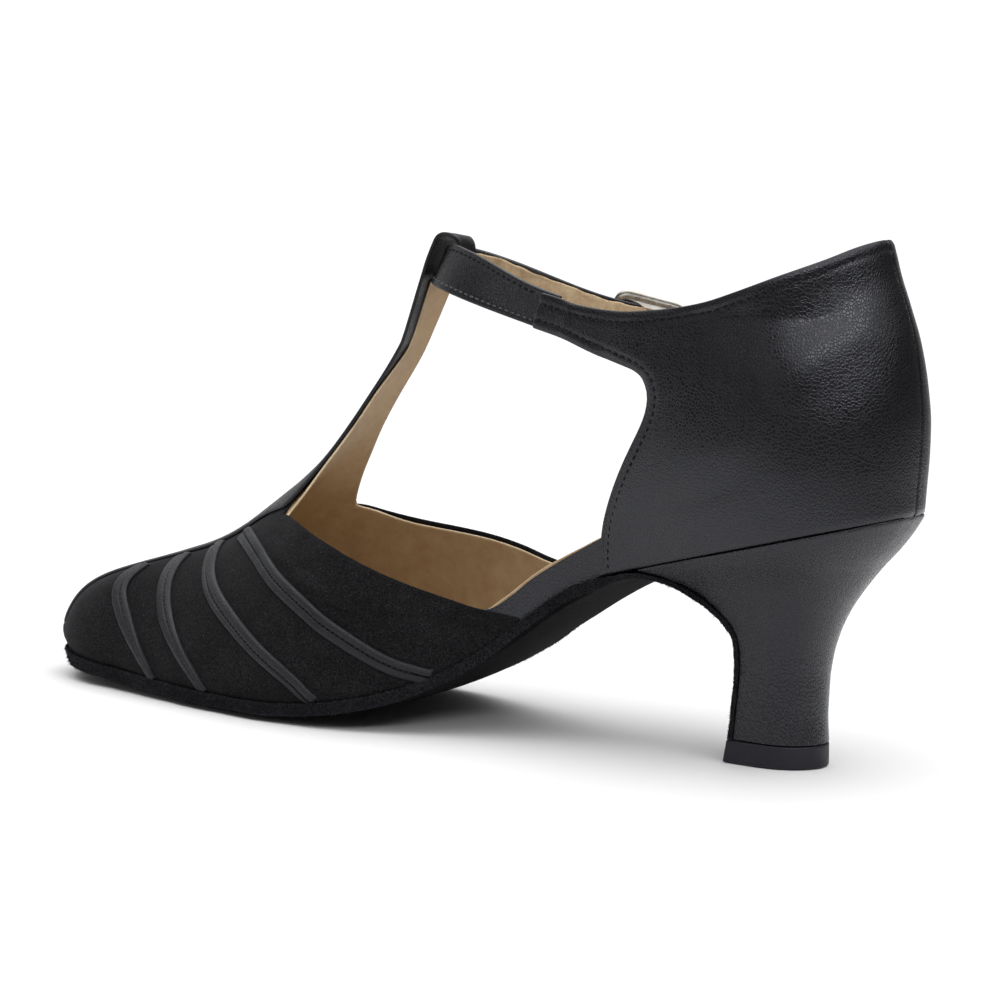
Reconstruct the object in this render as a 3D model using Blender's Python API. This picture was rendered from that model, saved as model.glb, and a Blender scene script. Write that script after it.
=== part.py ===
"""A right T-strap shoe with a flared heel, as an assembly of closed solids.

Frame: +X to the toe, +Y to the wearer's left (the inner side of a right foot),
+Z up, origin on the floor under the middle of the shoe.
Stations run along X from the back of the heel. Lengths are millimetres here and
become metres when a mesh is made.
"""
from collections import namedtuple
from math import acos, atan2, cos, pi, radians, sin, sqrt

import bpy
import numpy as np

MM = 0.001

# Driving dimensions
SHOE_LENGTH = 230.1
WALL = 1.5
TONGUE_WALL = 0.9
GAP = 0.3
SOLE_FRONT = 3.0
SOLE_WAIST = 2.3
SOLE_FLAP = 1.5
SOLE_MARGIN = 0.7
INSOLE_THICK = 1.6
TIP_HEIGHT = 5.2
TOE_END = 229.0
TOE_POLE = 207.0
HEEL_ROUND = 27.0
VAMP_BULGE = 1.4
QUARTER_BULGE = 3.0
COLLAR_LEVEL = 104.0
THROAT = 159.4
TONGUE_END = 129.4
STRIP_WIDTH = 4.3
STRIP_THICK = 0.8
T_STRAP_THICK = 0.9
STRAP_WIDTH = 9.2
STRAP_THICK = 1.8
STRAP_APEX = 126.0
STRAP_REACH = 57.0
STRAP_SPREAD = 23.2
STRAP_POWER = 2.6
STRAP_START = 82.0
STRAP_END = 44.0
STRAP_LEAN = radians(25)
STRAP_DROP = 4.6
OUTER_WING_END = 70.5
BUCKLE_FRONT = 89.5
BUCKLE_BACK = 73.5
BUCKLE_HEIGHT = 14.6
BUCKLE_WIRE = 1.1
PRONG_WIRE = 0.6
TAB_THICK = 0.8
TAB_WIDTH = 8.0

# Lower edge of the upper: half widths each side of the middle line, height,
# how much higher the outer edge is, and how far the sole bulges down between the edges
Feather = namedtuple("Feather", "station inner outer height outer_rise camber")
FEATHER = [
    Feather(0.0, 24.5, 24.5, 60.4, 0.0, 0.0),
    Feather(13.0, 25.4, 25.4, 57.2, 0.0, 0.0),
    Feather(28.0, 25.6, 25.6, 53.2, 0.0, 0.0),
    Feather(43.0, 24.0, 24.2, 49.1, 0.0, 0.0),
    Feather(60.0, 20.3, 21.0, 44.3, 0.0, 0.0),
    Feather(70.0, 19.0, 20.0, 41.0, 0.0, 0.2),
    Feather(78.0, 18.2, 19.6, 37.0, 0.2, 0.4),
    Feather(86.0, 18.2, 19.8, 31.7, 0.8, 0.7),
    Feather(94.0, 18.9, 20.8, 25.3, 2.0, 0.9),
    Feather(102.0, 21.6, 22.9, 19.4, 2.9, 1.0),
    Feather(110.0, 25.6, 25.9, 14.4, 3.0, 1.1),
    Feather(118.0, 29.6, 29.0, 10.8, 2.5, 1.2),
    Feather(127.0, 33.1, 32.0, 8.0, 1.4, 1.3),
    Feather(138.0, 35.7, 34.7, 5.9, 0.4, 1.6),
    Feather(150.0, 36.0, 36.0, 4.75, 0.0, 1.9),
    Feather(168.0, 32.8, 34.2, 4.5, 0.0, 1.9),
    Feather(188.0, 26.8, 28.4, 4.85, 0.0, 1.6),
    Feather(207.0, 20.8, 21.4, 5.6, 0.0, 1.2),
    Feather(229.0, 17.5, 16.5, 7.2, 0.0, 1.0),
]

# Middle line in plan
Middle = namedtuple("Middle", "station y")
MIDDLE = [Middle(0.0, 0.0), Middle(140.0, 0.0), Middle(185.0, 0.6), Middle(229.0, 2.0)]

# Ridge of the vamp and tongue, and how full the section is under it
Ridge = namedtuple("Ridge", "station height fullness")
RIDGE = [
    Ridge(60.0, 125.0, 1.70),
    Ridge(100.0, 119.0, 1.70),
    Ridge(120.0, 111.0, 1.70),
    Ridge(127.2, 105.0, 1.70),
    Ridge(130.5, 100.0, 1.70),
    Ridge(134.1, 93.1, 1.70),
    Ridge(137.9, 85.3, 1.70),
    Ridge(142.0, 77.7, 1.70),
    Ridge(146.8, 69.9, 1.70),
    Ridge(152.5, 62.1, 1.70),
    Ridge(159.0, 55.6, 1.70),
    Ridge(165.2, 50.3, 1.74),
    Ridge(171.0, 45.6, 1.80),
    Ridge(176.4, 41.5, 1.87),
    Ridge(182.4, 37.8, 1.95),
    Ridge(188.4, 35.0, 2.06),
    Ridge(194.4, 32.9, 2.18),
    Ridge(200.4, 30.9, 2.32),
    Ridge(207.0, 28.7, 2.45),
]
RIDGE_SLOPE = 0.34

# Half width of the quarter at collar level
Collar = namedtuple("Collar", "station width")
COLLAR = [
    Collar(0.0, 15.5),
    Collar(14.0, 19.6),
    Collar(28.0, 24.0),
    Collar(44.0, 25.8),
    Collar(58.0, 26.3),
    Collar(70.0, 25.6),
    Collar(82.0, 23.7),
    Collar(90.0, 22.2),
    Collar(110.0, 17.0),
]

# Back of the heel seen from the side
Back = namedtuple("Back", "height station")
BACK = [
    Back(58.0, 0.6),
    Back(66.0, 0.4),
    Back(72.0, 0.1),
    Back(79.5, 0.0),
    Back(88.5, 0.8),
    Back(98.5, 2.6),
    Back(108.3, 5.9),
    Back(115.0, 8.9),
    Back(121.2, 11.9),
]

# Collar line from the back seam to the wing tips, inner and outer side
Topline = namedtuple("Topline", "station inner outer")
TOPLINE = [
    Topline(11.9, 121.2, 121.2),
    Topline(13.7, 120.3, 120.3),
    Topline(18.6, 117.3, 117.2),
    Topline(25.9, 113.7, 113.3),
    Topline(34.6, 109.8, 108.8),
    Topline(44.0, 106.3, 104.4),
    Topline(54.0, 104.2, 101.2),
    Topline(64.2, 103.1, 99.2),
    Topline(75.7, 103.7, 98.8),
    Topline(81.6, 104.8, 99.0),
    Topline(90.0, 106.2, 99.4),
]

# Upper edge of the band and of the vamp sides
Side = namedtuple("Side", "station inner outer")
SIDES = [
    Side(68.0, 50.8, 50.8),
    Side(75.4, 46.8, 47.0),
    Side(80.6, 44.0, 44.5),
    Side(88.4, 39.3, 40.4),
    Side(93.0, 35.4, 37.8),
    Side(98.0, 31.6, 36.2),
    Side(105.0, 32.2, 36.8),
    Side(118.0, 36.0, 39.2),
    Side(128.7, 39.9, 40.8),
    Side(136.7, 42.7, 41.7),
    Side(145.7, 45.0, 42.9),
    Side(153.1, 46.6, 44.8),
    Side(159.4, 47.5, 47.5),
]

# Front edge of the quarter, and the lower edge of the wing that runs on from it
Front = namedtuple("Front", "height station")
FRONT = [
    Front(40.0, 70.9),
    Front(52.2, 69.2),
    Front(59.5, 66.7),
    Front(66.8, 63.4),
    Front(74.1, 59.5),
    Front(81.2, 56.4),
    Front(85.9, 55.3),
    Front(88.3, 56.0),
    Front(110.0, 57.5),
]
Wing = namedtuple("Wing", "station inner outer")
WING = [
    Wing(56.0, 88.3, 86.4),
    Wing(58.0, 90.0, 87.8),
    Wing(61.0, 90.8, 88.3),
    Wing(65.0, 91.4, 88.6),
    Wing(70.5, 92.6, 89.3),
    Wing(76.5, 94.2, 90.2),
    Wing(82.5, 95.8, 91.4),
    Wing(88.4, 97.2, 92.6),
]

# Half width of the tongue
Tongue = namedtuple("Tongue", "station half")
TONGUE = [
    Tongue(129.4, 7.3),
    Tongue(135.4, 7.7),
    Tongue(139.4, 8.1),
    Tongue(143.4, 8.5),
    Tongue(147.4, 9.2),
    Tongue(151.4, 10.3),
    Tongue(155.4, 12.2),
    Tongue(159.4, 16.0),
]

# Half width of the leather T-strap over the vamp and tongue
Leather = namedtuple("Leather", "station half")
LEATHER = [
    Leather(131.0, 7.0),
    Leather(139.0, 7.7),
    Leather(147.0, 8.7),
    Leather(151.4, 9.8),
    Leather(155.4, 11.6),
    Leather(159.4, 14.2),
    Leather(163.0, 12.6),
    Leather(168.0, 9.8),
    Leather(175.0, 7.0),
    Leather(182.0, 5.4),
    Leather(192.0, 4.7),
    Leather(205.0, 4.3),
    Leather(230.0, 3.6),
]

# Strips on the vamp: rib and height share at the top, middle and foot
Strip = namedtuple("Strip", "top top_h upper upper_h lower lower_h foot foot_h")
STRIPS = [
    Strip(203.0, 0.962, 204.0, 0.74, 198.0, 0.41, 188.3, 0.05),
    Strip(193.0, 0.962, 191.0, 0.74, 184.0, 0.41, 169.5, 0.05),
    Strip(183.0, 0.950, 176.5, 0.69, 163.5, 0.38, 136.5, 0.035),
    Strip(172.5, 0.895, 160.0, 0.64, 137.0, 0.255, 110.0, 0.022),
]

# Heel sections from the seat down: front and back points in side view, half widths
Section = namedtuple("Section", "front_s front_z back_s back_z half round_share")
HEEL = [
    Section(60.0, 43.6, 0.8, 59.2, 25.4, 0.0),
    Section(55.0, 42.7, 2.8, 55.6, 23.4, 0.25),
    Section(50.8, 41.5, 5.4, 51.8, 21.0, 0.5),
    Section(46.6, 39.2, 9.6, 46.8, 18.0, 0.75),
    Section(42.8, 36.2, 13.6, 41.4, 15.6, 0.9),
    Section(39.7, 32.8, 16.9, 36.2, 13.8, 1.0),
    Section(38.1, 29.2, 19.2, 30.8, 12.4, 1.0),
    Section(37.7, 24.6, 20.6, 25.2, 11.4, 1.0),
    Section(38.0, 19.4, 21.1, 19.6, 10.7, 1.0),
    Section(38.6, 12.6, 21.1, 12.6, 10.3, 1.0),
    Section(39.1, TIP_HEIGHT + GAP, 20.5, TIP_HEIGHT + GAP, 10.2, 1.0),
]
TIP = [
    Section(40.9, TIP_HEIGHT, 20.4, TIP_HEIGHT, 10.3, 1.0),
    Section(41.6, 0.0, 20.2, 0.0, 10.5, 1.0),
]

# Colours: red, green, blue, roughness, metal
Finish = namedtuple("Finish", "red green blue roughness metal")
SUEDE = Finish(0.012, 0.012, 0.013, 0.85, 0.0)
LEATHER_BLACK = Finish(0.020, 0.020, 0.022, 0.40, 0.0)
SOLE_SUEDE = Finish(0.014, 0.013, 0.015, 0.90, 0.0)
RUBBER = Finish(0.025, 0.024, 0.027, 0.60, 0.0)
TAN = Finish(0.28, 0.19, 0.12, 0.60, 0.0)
NICKEL = Finish(0.72, 0.66, 0.55, 0.25, 1.0)


def clear_scene():
    for item in list(bpy.data.objects):
        bpy.data.objects.remove(item, do_unlink=True)


def smooth(low, high, value):
    """A soft step from 0 at low to 1 at high."""
    share = min(max((value - low) / (high - low), 0.0), 1.0)
    return share * share * (3.0 - 2.0 * share)


def curve(rows, column):
    """A smooth line through one column of a table, over its first column."""
    x = np.array([row[0] for row in rows], float)
    y = np.array([getattr(row, column) for row in rows], float)
    step = np.diff(x)
    rise = np.diff(y) / step
    slope = np.zeros(len(x))
    slope[0] = rise[0]
    slope[-1] = rise[-1]
    for i in range(1, len(x) - 1):
        if rise[i - 1] * rise[i] > 0:
            a = 2 * step[i] + step[i - 1]
            b = step[i] + 2 * step[i - 1]
            slope[i] = (a + b) / (a / rise[i - 1] + b / rise[i])

    def value(at):
        at = min(max(at, x[0]), x[-1])
        i = min(int(np.searchsorted(x, at, side="right")) - 1, len(x) - 2)
        t = (at - x[i]) / step[i]
        return float(
            y[i] * (1 + 2 * t) * (1 - t) ** 2
            + slope[i] * step[i] * t * (1 - t) ** 2
            + y[i + 1] * t * t * (3 - 2 * t)
            + slope[i + 1] * step[i] * t * t * (t - 1)
        )

    return value


inner_edge = curve(FEATHER, "height")
outer_rise = curve(FEATHER, "outer_rise")
camber = curve(FEATHER, "camber")
width_of = {1: curve(FEATHER, "inner"), -1: curve(FEATHER, "outer")}
middle = curve(MIDDLE, "y")
ridge = curve(RIDGE, "height")
fullness = curve(RIDGE, "fullness")
collar_width = curve(COLLAR, "width")
back_station = curve(BACK, "station")
topline = {1: curve(TOPLINE, "inner"), -1: curve(TOPLINE, "outer")}
side_top = {1: curve(SIDES, "inner"), -1: curve(SIDES, "outer")}
front_station = curve(FRONT, "station")
wing_low = {1: curve(WING, "inner"), -1: curve(WING, "outer")}
tongue_half = curve(TONGUE, "half")
leather_half = curve(LEATHER, "half")


# Last shape

def cap(share):
    share = min(max(share, 0.0), 1.0)
    return sqrt(1.0 - (1.0 - share) ** 2)


def edge_height(s, side):
    """Height of the feather line on one side."""
    return inner_edge(s) + (outer_rise(s) if side < 0 else 0.0)


def half_width(side, s):
    """Half width of the feather line, with its round heel and toe ends."""
    heel = cap((s - back_station(inner_edge(s))) / HEEL_ROUND)
    toe = cap((TOE_END - s) / (TOE_END - TOE_POLE))
    return width_of[side](s) * heel * toe


def bottom(s, y):
    """Height of the underside of the foot at a point in plan."""
    offset = y - middle(s)
    side = 1 if offset >= 0 else -1
    share = min(abs(offset) / max(half_width(side, s), 0.1), 1.0)
    tilt = 0.5 * outer_rise(s) * (1.0 - side * share)
    return inner_edge(s) + tilt - camber(s) * (1.0 - share * share)


def swell(h):
    return 9.48 * h * (1.0 - h) ** 3


def rib(line, side):
    """Top, foot and section shape of one vamp rib; past the pole the ribs fan out."""
    if line <= TOE_POLE:
        s = line
        apart = 1.0
        top = np.array([s, middle(s), ridge(s)])
    else:
        turn = (line - TOE_POLE) / (TOE_END - TOE_POLE)
        s = TOE_POLE + (TOE_END - TOE_POLE) * sin(turn)
        apart = cos(turn)
        top = np.array([TOE_POLE, middle(TOE_POLE), ridge(TOE_POLE)])
    foot = np.array([s, middle(s) + side * width_of[side](s) * apart, edge_height(s, side)])
    return top, foot, fullness(min(s, TOE_POLE))


def rib_point(line, side, h):
    """A point of the vamp on a rib, at a share h of the height to the ridge."""
    top, foot, n = rib(line, side)
    flat = foot - top
    flat[2] = 0.0
    reach = np.linalg.norm(flat)
    out = flat / reach
    fall = RIDGE_SLOPE * max(out[0], 0.0)
    run = reach * max(1.0 - h ** n, 0.0) ** (1.0 / n)
    rise = top[2] - fall * reach - foot[2]
    point = top + out * (run + VAMP_BULGE * swell(h))
    point[2] = top[2] - fall * run - rise * (1.0 - h)
    return point


def share_at(reach, n, run):
    """Height share at which a section of this reach and fullness is as wide as run."""
    low = 0.28
    high = 1.0
    for _ in range(40):
        h = 0.5 * (low + high)
        width = reach * max(1.0 - h ** n, 0.0) ** (1.0 / n) + VAMP_BULGE * swell(h)
        if width > run:
            low = h
        else:
            high = h
    return 0.5 * (low + high)


def vamp_point(s, y):
    """The vamp or tongue surface above a point in plan, away from the steep foot."""
    if s <= TOE_POLE:
        side = 1 if y >= middle(s) else -1
        h = share_at(width_of[side](s), fullness(s), abs(y - middle(s)))
        low = edge_height(s, side)
        return np.array([s, y, low + (ridge(s) - low) * h])
    dx = s - TOE_POLE
    dy = y - middle(s)
    run = sqrt(dx * dx + dy * dy)
    side = 1 if dy >= 0 else -1
    turn = atan2(dx / (TOE_END - TOE_POLE), abs(dy) / width_of[side](s))
    line = TOE_POLE + turn * (TOE_END - TOE_POLE)
    top, foot, n = rib(line, side)
    reach = sqrt((foot[0] - top[0]) ** 2 + (foot[1] - top[1]) ** 2)
    h = share_at(reach, n, run)
    return rib_point(line, side, h)


def wall(side, s, z):
    """Distance of the side wall from the middle line, at a station and height."""
    low = edge_height(s, side)
    wide = width_of[side](s)
    level = (z - low) / (COLLAR_LEVEL - low)
    swollen = QUARTER_BULGE * 4.0 * level * max(1.0 - level, 0.0)
    quarter = wide + (collar_width(s) - wide) * min(level, 1.15) + swollen
    quarter *= cap((s - back_station(z)) / HEEL_ROUND)
    share = smooth(100.0, 134.0, s)
    if share == 0.0:
        return quarter
    tall = ridge(s) - low
    h = min(max((z - low) / tall, 0.0), 1.0)
    n = fullness(s)
    vamp = wide * max(1.0 - h ** n, 0.0) ** (1.0 / n) + VAMP_BULGE * swell(h)
    return (1.0 - share) * quarter + share * vamp


def wall_point(side, s, z):
    return np.array([s, middle(s) + side * wall(side, s, z), z])


# Mesh helpers

def material_for(name, finish):
    made = bpy.data.materials.new(name)
    made.use_nodes = True
    shader = made.node_tree.nodes["Principled BSDF"]
    shader.inputs["Base Color"].default_value = (finish.red, finish.green, finish.blue, 1.0)
    shader.inputs["Roughness"].default_value = finish.roughness
    shader.inputs["Metallic"].default_value = finish.metal
    return made


def volume_of(points, faces):
    total = 0.0
    for face in faces:
        a = points[face[0]]
        for b, c in zip(face[1:-1], face[2:]):
            total += np.dot(a, np.cross(points[b], points[c]))
    return total / 6.0


def make_node(name, points, faces, finish):
    """One closed body as a named object, faces outward."""
    placed = np.array(points, float)
    placed[:, 0] -= 0.5 * SHOE_LENGTH
    if volume_of(placed, faces) < 0:
        faces = [tuple(reversed(face)) for face in faces]
    mesh = bpy.data.meshes.new(name)
    mesh.from_pydata([tuple(p * MM) for p in placed], [], [tuple(f) for f in faces])
    mesh.update()
    node = bpy.data.objects.new(name, mesh)
    bpy.context.scene.collection.objects.link(node)
    mesh.materials.append(material_for(name + "_finish", finish))
    return node


def slab(upper_rows, lower_rows):
    """A closed body between two matching grids of points."""
    high = np.array(upper_rows, float)
    low = np.array(lower_rows, float)
    rows, columns = high.shape[:2]
    points = list(high.reshape(-1, 3)) + list(low.reshape(-1, 3))
    under = rows * columns
    faces = []
    for i in range(rows - 1):
        for j in range(columns - 1):
            a = i * columns + j
            b = a + columns
            faces.append((a, a + 1, b + 1, b))
            faces.append((under + b, under + b + 1, under + a + 1, under + a))
    rim = [(0, j) for j in range(columns)]
    rim += [(i, columns - 1) for i in range(1, rows)]
    rim += [(rows - 1, j) for j in range(columns - 2, -1, -1)]
    rim += [(i, 0) for i in range(rows - 2, 0, -1)]
    for (i, j), (k, m) in zip(rim, rim[1:] + rim[:1]):
        a = i * columns + j
        b = k * columns + m
        faces.append((b, a, under + a, under + b))
    return points, faces


def stack(rings):
    """A closed body through rings; a ring is one list of points for each side."""
    points = []
    faces = []
    count = len(rings[0][0])
    around = 2 * count
    for inner, outer in rings:
        points += list(inner) + list(reversed(outer))
    for i in range(len(rings) - 1):
        for k in range(around):
            a = i * around + k
            b = i * around + (k + 1) % around
            faces.append((a, b, b + around, a + around))
    last = (len(rings) - 1) * around
    for k in range(count - 1):
        far = around - 1 - k
        faces.append((far, far - 1, k + 1, k))
        faces.append((last + k, last + k + 1, last + far - 1, last + far))
    return points, faces


def tube(path, radius, count, closed):
    """A round wire along a path."""
    path = np.array(path, float)
    total = len(path)
    points = []
    faces = []
    up = np.array([0.0, 0.0, 1.0])
    for i in range(total):
        before = path[i - 1] if i > 0 or closed else path[i]
        after = path[(i + 1) % total] if i < total - 1 or closed else path[i]
        along = (after - before) / np.linalg.norm(after - before)
        side = np.cross(along, up)
        if i == 0:
            side = np.cross(along, up if abs(along[2]) < 0.9 else np.array([1.0, 0.0, 0.0]))
        else:
            side = last_side - along * np.dot(last_side, along)
        side /= np.linalg.norm(side)
        last_side = side
        other = np.cross(along, side)
        for k in range(count):
            angle = 2 * pi * k / count
            points.append(path[i] + radius * (cos(angle) * side + sin(angle) * other))
    for i in range(total if closed else total - 1):
        n = (i + 1) % total
        for k in range(count):
            m = (k + 1) % count
            faces.append((i * count + k, i * count + m, n * count + m, n * count + k))
    if not closed:
        faces.append(tuple(reversed(range(count))))
        faces.append(tuple(range((total - 1) * count, total * count)))
    return points, faces


class Sheet:
    """A skin of shared points that is thickened into one closed body."""

    def __init__(self):
        self.points = []
        self.thick = []
        self.foot = []
        self.faces = []
        self.index = {}

    def vertex(self, key, point, thickness=WALL, foot=False):
        if key not in self.index:
            self.index[key] = len(self.points)
            self.points.append(np.array(point, float))
            self.thick.append(thickness)
            self.foot.append(foot)
        return self.index[key]

    def quad(self, side, a, b, c, d):
        face = []
        for v in (a, b, c, d):
            if v not in face:
                face.append(v)
        if len(face) > 2:
            self.faces.append(tuple(face if side > 0 else reversed(face)))

    def normals(self):
        total = np.zeros((len(self.points), 3))
        for face in self.faces:
            corner = [self.points[v] for v in face]
            across = np.cross(corner[1] - corner[0], corner[2] - corner[0])
            if len(face) == 4:
                across = np.cross(corner[2] - corner[0], corner[3] - corner[1])
            for v in face:
                total[v] += across
        return total / np.linalg.norm(total, axis=1)[:, None]

    def solid(self):
        count = len(self.points)
        inner = []
        for point, n, thick, foot in zip(self.points, self.normals(), self.thick, self.foot):
            if foot:
                n = np.array([n[0], n[1], 0.0]) / sqrt(n[0] ** 2 + n[1] ** 2)
            moved = point - n * thick
            if foot:
                moved[2] = edge_height(moved[0], 1 if moved[1] >= 0 else -1)
            inner.append(moved)
        faces = list(self.faces)
        faces += [tuple(count + v for v in reversed(face)) for face in self.faces]
        edges = {}
        for face in self.faces:
            for a, b in zip(face, face[1:] + face[:1]):
                if (b, a) in edges:
                    del edges[(b, a)]
                else:
                    edges[(a, b)] = True
        for a, b in edges:
            faces.append((b, a, count + a, count + b))
        return self.points + inner, faces


# Upper

SIDE_ROWS = 7
TOP_ROWS = 4
OPEN_ROWS = 6
WING_ROWS = 3
RIDGE_ROW = SIDE_ROWS + TOP_ROWS
QUARTER_ROWS = SIDE_ROWS + OPEN_ROWS + WING_ROWS
FAN_TURNS = [90, 75, 60, 45, 30, 15]
VAMP_STATIONS = [TOE_POLE, 202, 197, 192, 187, 182, 177, 172, 167, 163, THROAT]
BAND_STATIONS = [155, 150, 144.5, 138.5, 132, 125, 118, 111.5, 106, 101.5, 98, 94.5, 90.5, 86, 81, 75.5]
TONGUE_STATIONS = [156, 152.5, 149, 145.5, 142, 139, 136.2, 133.4, 131.2, TONGUE_END]
QUARTER_RIBS = 14
CAP_SHARE = 0.58
WING_STATIONS = {1: [88.4, 84, 79, 74, 69, 64.5, 61, 58.5], -1: [OUTER_WING_END, 67.5, 64.5, 61, 58.5]}


def throat_share():
    return share_at(width_of[1](THROAT), fullness(THROAT), tongue_half(THROAT))


def vamp_share(row):
    """Height share of a vamp row, even along the curve below and above the split."""
    split = acos(max(0.0, (1.0 - throat_share() ** 1.7) ** 0.5))
    if row <= SIDE_ROWS:
        angle = split * row / SIDE_ROWS
    else:
        angle = split + (0.5 * pi - split) * (row - SIDE_ROWS) / TOP_ROWS
    return sin(angle) ** (2.0 / 1.7)


def quarter_share(row, forward):
    """Height share of a quarter row: even at the back, matching band and wing in front."""
    even = row / QUARTER_ROWS
    band = 0.15
    wing = 0.757
    if row <= SIDE_ROWS:
        ahead = band * row / SIDE_ROWS
    elif row <= SIDE_ROWS + OPEN_ROWS:
        ahead = band + (wing - band) * (row - SIDE_ROWS) / OPEN_ROWS
    else:
        ahead = wing + (1.0 - wing) * (row - SIDE_ROWS - OPEN_ROWS) / WING_ROWS
    return even + (ahead - even) * forward


def quarter_point(side, forward, row):
    """A quarter point: forward runs from the back seam (0) to the front edge (1)."""
    share = quarter_share(row, forward)
    z = 80.0
    s = 0.0
    for _ in range(12):
        begin = back_station(z)
        if forward <= CAP_SHARE:
            s = begin + HEEL_ROUND * (1.0 - cos(0.5 * pi * forward / CAP_SHARE))
        else:
            along = (forward - CAP_SHARE) / (1.0 - CAP_SHARE)
            start = begin + HEEL_ROUND
            s = start + (front_station(z) - start) * along
        low = edge_height(s, side)
        z = 0.5 * z + 0.5 * (low + share * (topline[side](s) - low))
    return wall_point(side, s, z)


def upper():
    sheet = Sheet()
    wide_turn = TOE_END - TOE_POLE
    vamp_lines = [TOE_POLE + radians(turn) * wide_turn for turn in FAN_TURNS] + VAMP_STATIONS
    for side in (1, -1):
        strips = []
        for i, line in enumerate(vamp_lines):
            column = []
            for row in range(RIDGE_ROW + 1):
                own = 0 if i == 0 or row == RIDGE_ROW else side
                key = ("vamp", own, i, row)
                if row == RIDGE_ROW and line >= TOE_POLE:
                    key = "pole"
                h = vamp_share(row)
                column.append(sheet.vertex(key, rib_point(line, side, h), foot=row == 0))
            strips.append(column)
        for a, b in zip(strips, strips[1:]):
            for row in range(RIDGE_ROW):
                sheet.quad(side, a[row], b[row], b[row + 1], a[row + 1])
        throat = strips[-1]

        # Tongue, from the throat up to the ankle strap
        last = throat[SIDE_ROWS:]
        for i, s in enumerate(TONGUE_STATIONS):
            column = []
            for row in range(TOP_ROWS + 1):
                y = middle(s) + side * tongue_half(s) * (1.0 - row / TOP_ROWS)
                own = 0 if row == TOP_ROWS else side
                thick = TONGUE_WALL + (WALL - TONGUE_WALL) * smooth(149.0, THROAT, s)
                column.append(sheet.vertex(("tongue", own, i, row), vamp_point(s, y), thick))
            for row in range(TOP_ROWS):
                sheet.quad(side, last[row], column[row], column[row + 1], last[row + 1])
            last = column

        # Vamp sides and waist band
        last = throat[:SIDE_ROWS + 1]
        for i, s in enumerate(BAND_STATIONS):
            column = []
            low = edge_height(s, side)
            high = side_top[side](s)
            for row in range(SIDE_ROWS + 1):
                even = row / SIDE_ROWS
                bent = vamp_share(row) / vamp_share(SIDE_ROWS)
                share = even + (bent - even) * smooth(110.0, THROAT, s)
                point = wall_point(side, s, low + (high - low) * share)
                column.append(sheet.vertex(("band", side, i, row), point, foot=row == 0))
            for row in range(SIDE_ROWS):
                sheet.quad(side, last[row], column[row], column[row + 1], last[row + 1])
            last = column

        # Quarter, from its front edge round to the back seam
        ribs = []
        for i in range(QUARTER_RIBS + 1):
            forward = 1.0 - i / QUARTER_RIBS
            column = []
            for row in range(QUARTER_ROWS + 1):
                own = 0 if i == QUARTER_RIBS else side
                point = quarter_point(side, forward, row)
                if own == 0:
                    point[1] = 0.0
                column.append(sheet.vertex(("quarter", own, i, row), point, foot=row == 0))
            ribs.append(column)
        for row in range(SIDE_ROWS):
            sheet.quad(side, last[row], ribs[0][row], ribs[0][row + 1], last[row + 1])
        for a, b in zip(ribs, ribs[1:]):
            for row in range(QUARTER_ROWS):
                sheet.quad(side, a[row], b[row], b[row + 1], a[row + 1])

        # Wing towards the ankle strap
        wing = []
        for i, s in enumerate(WING_STATIONS[side]):
            column = []
            for row in range(WING_ROWS + 1):
                low = wing_low[side](s)
                z = low + (topline[side](s) - low) * row / WING_ROWS
                column.append(sheet.vertex(("wing", side, i, row), wall_point(side, s, z)))
            wing.append(column)
        wing.append(ribs[0][SIDE_ROWS + OPEN_ROWS:])
        for a, b in zip(wing, wing[1:]):
            for row in range(WING_ROWS):
                sheet.quad(side, a[row], b[row], b[row + 1], a[row + 1])
    points, faces = sheet.solid()
    return make_node("upper", points, faces, SUEDE)


# Bottom parts

ACROSS = [-1.0, -0.85, -0.5, 0.0, 0.5, 0.85, 1.0]


def sole_thickness(s):
    front = SOLE_WAIST + (SOLE_FRONT - SOLE_WAIST) * smooth(96.0, 128.0, s)
    return SOLE_FLAP + (front - SOLE_FLAP) * smooth(58.0, 76.0, s)


def across_points(s, margin, drop):
    """A row of points across the underside of the foot."""
    row = []
    for share in ACROSS:
        side = 1 if share >= 0 else -1
        wide = half_width(side, s)
        y = middle(s) + share * (wide + margin)
        row.append(np.array([s, y, bottom(s, middle(s) + share * wide) - drop]))
    return row


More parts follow.
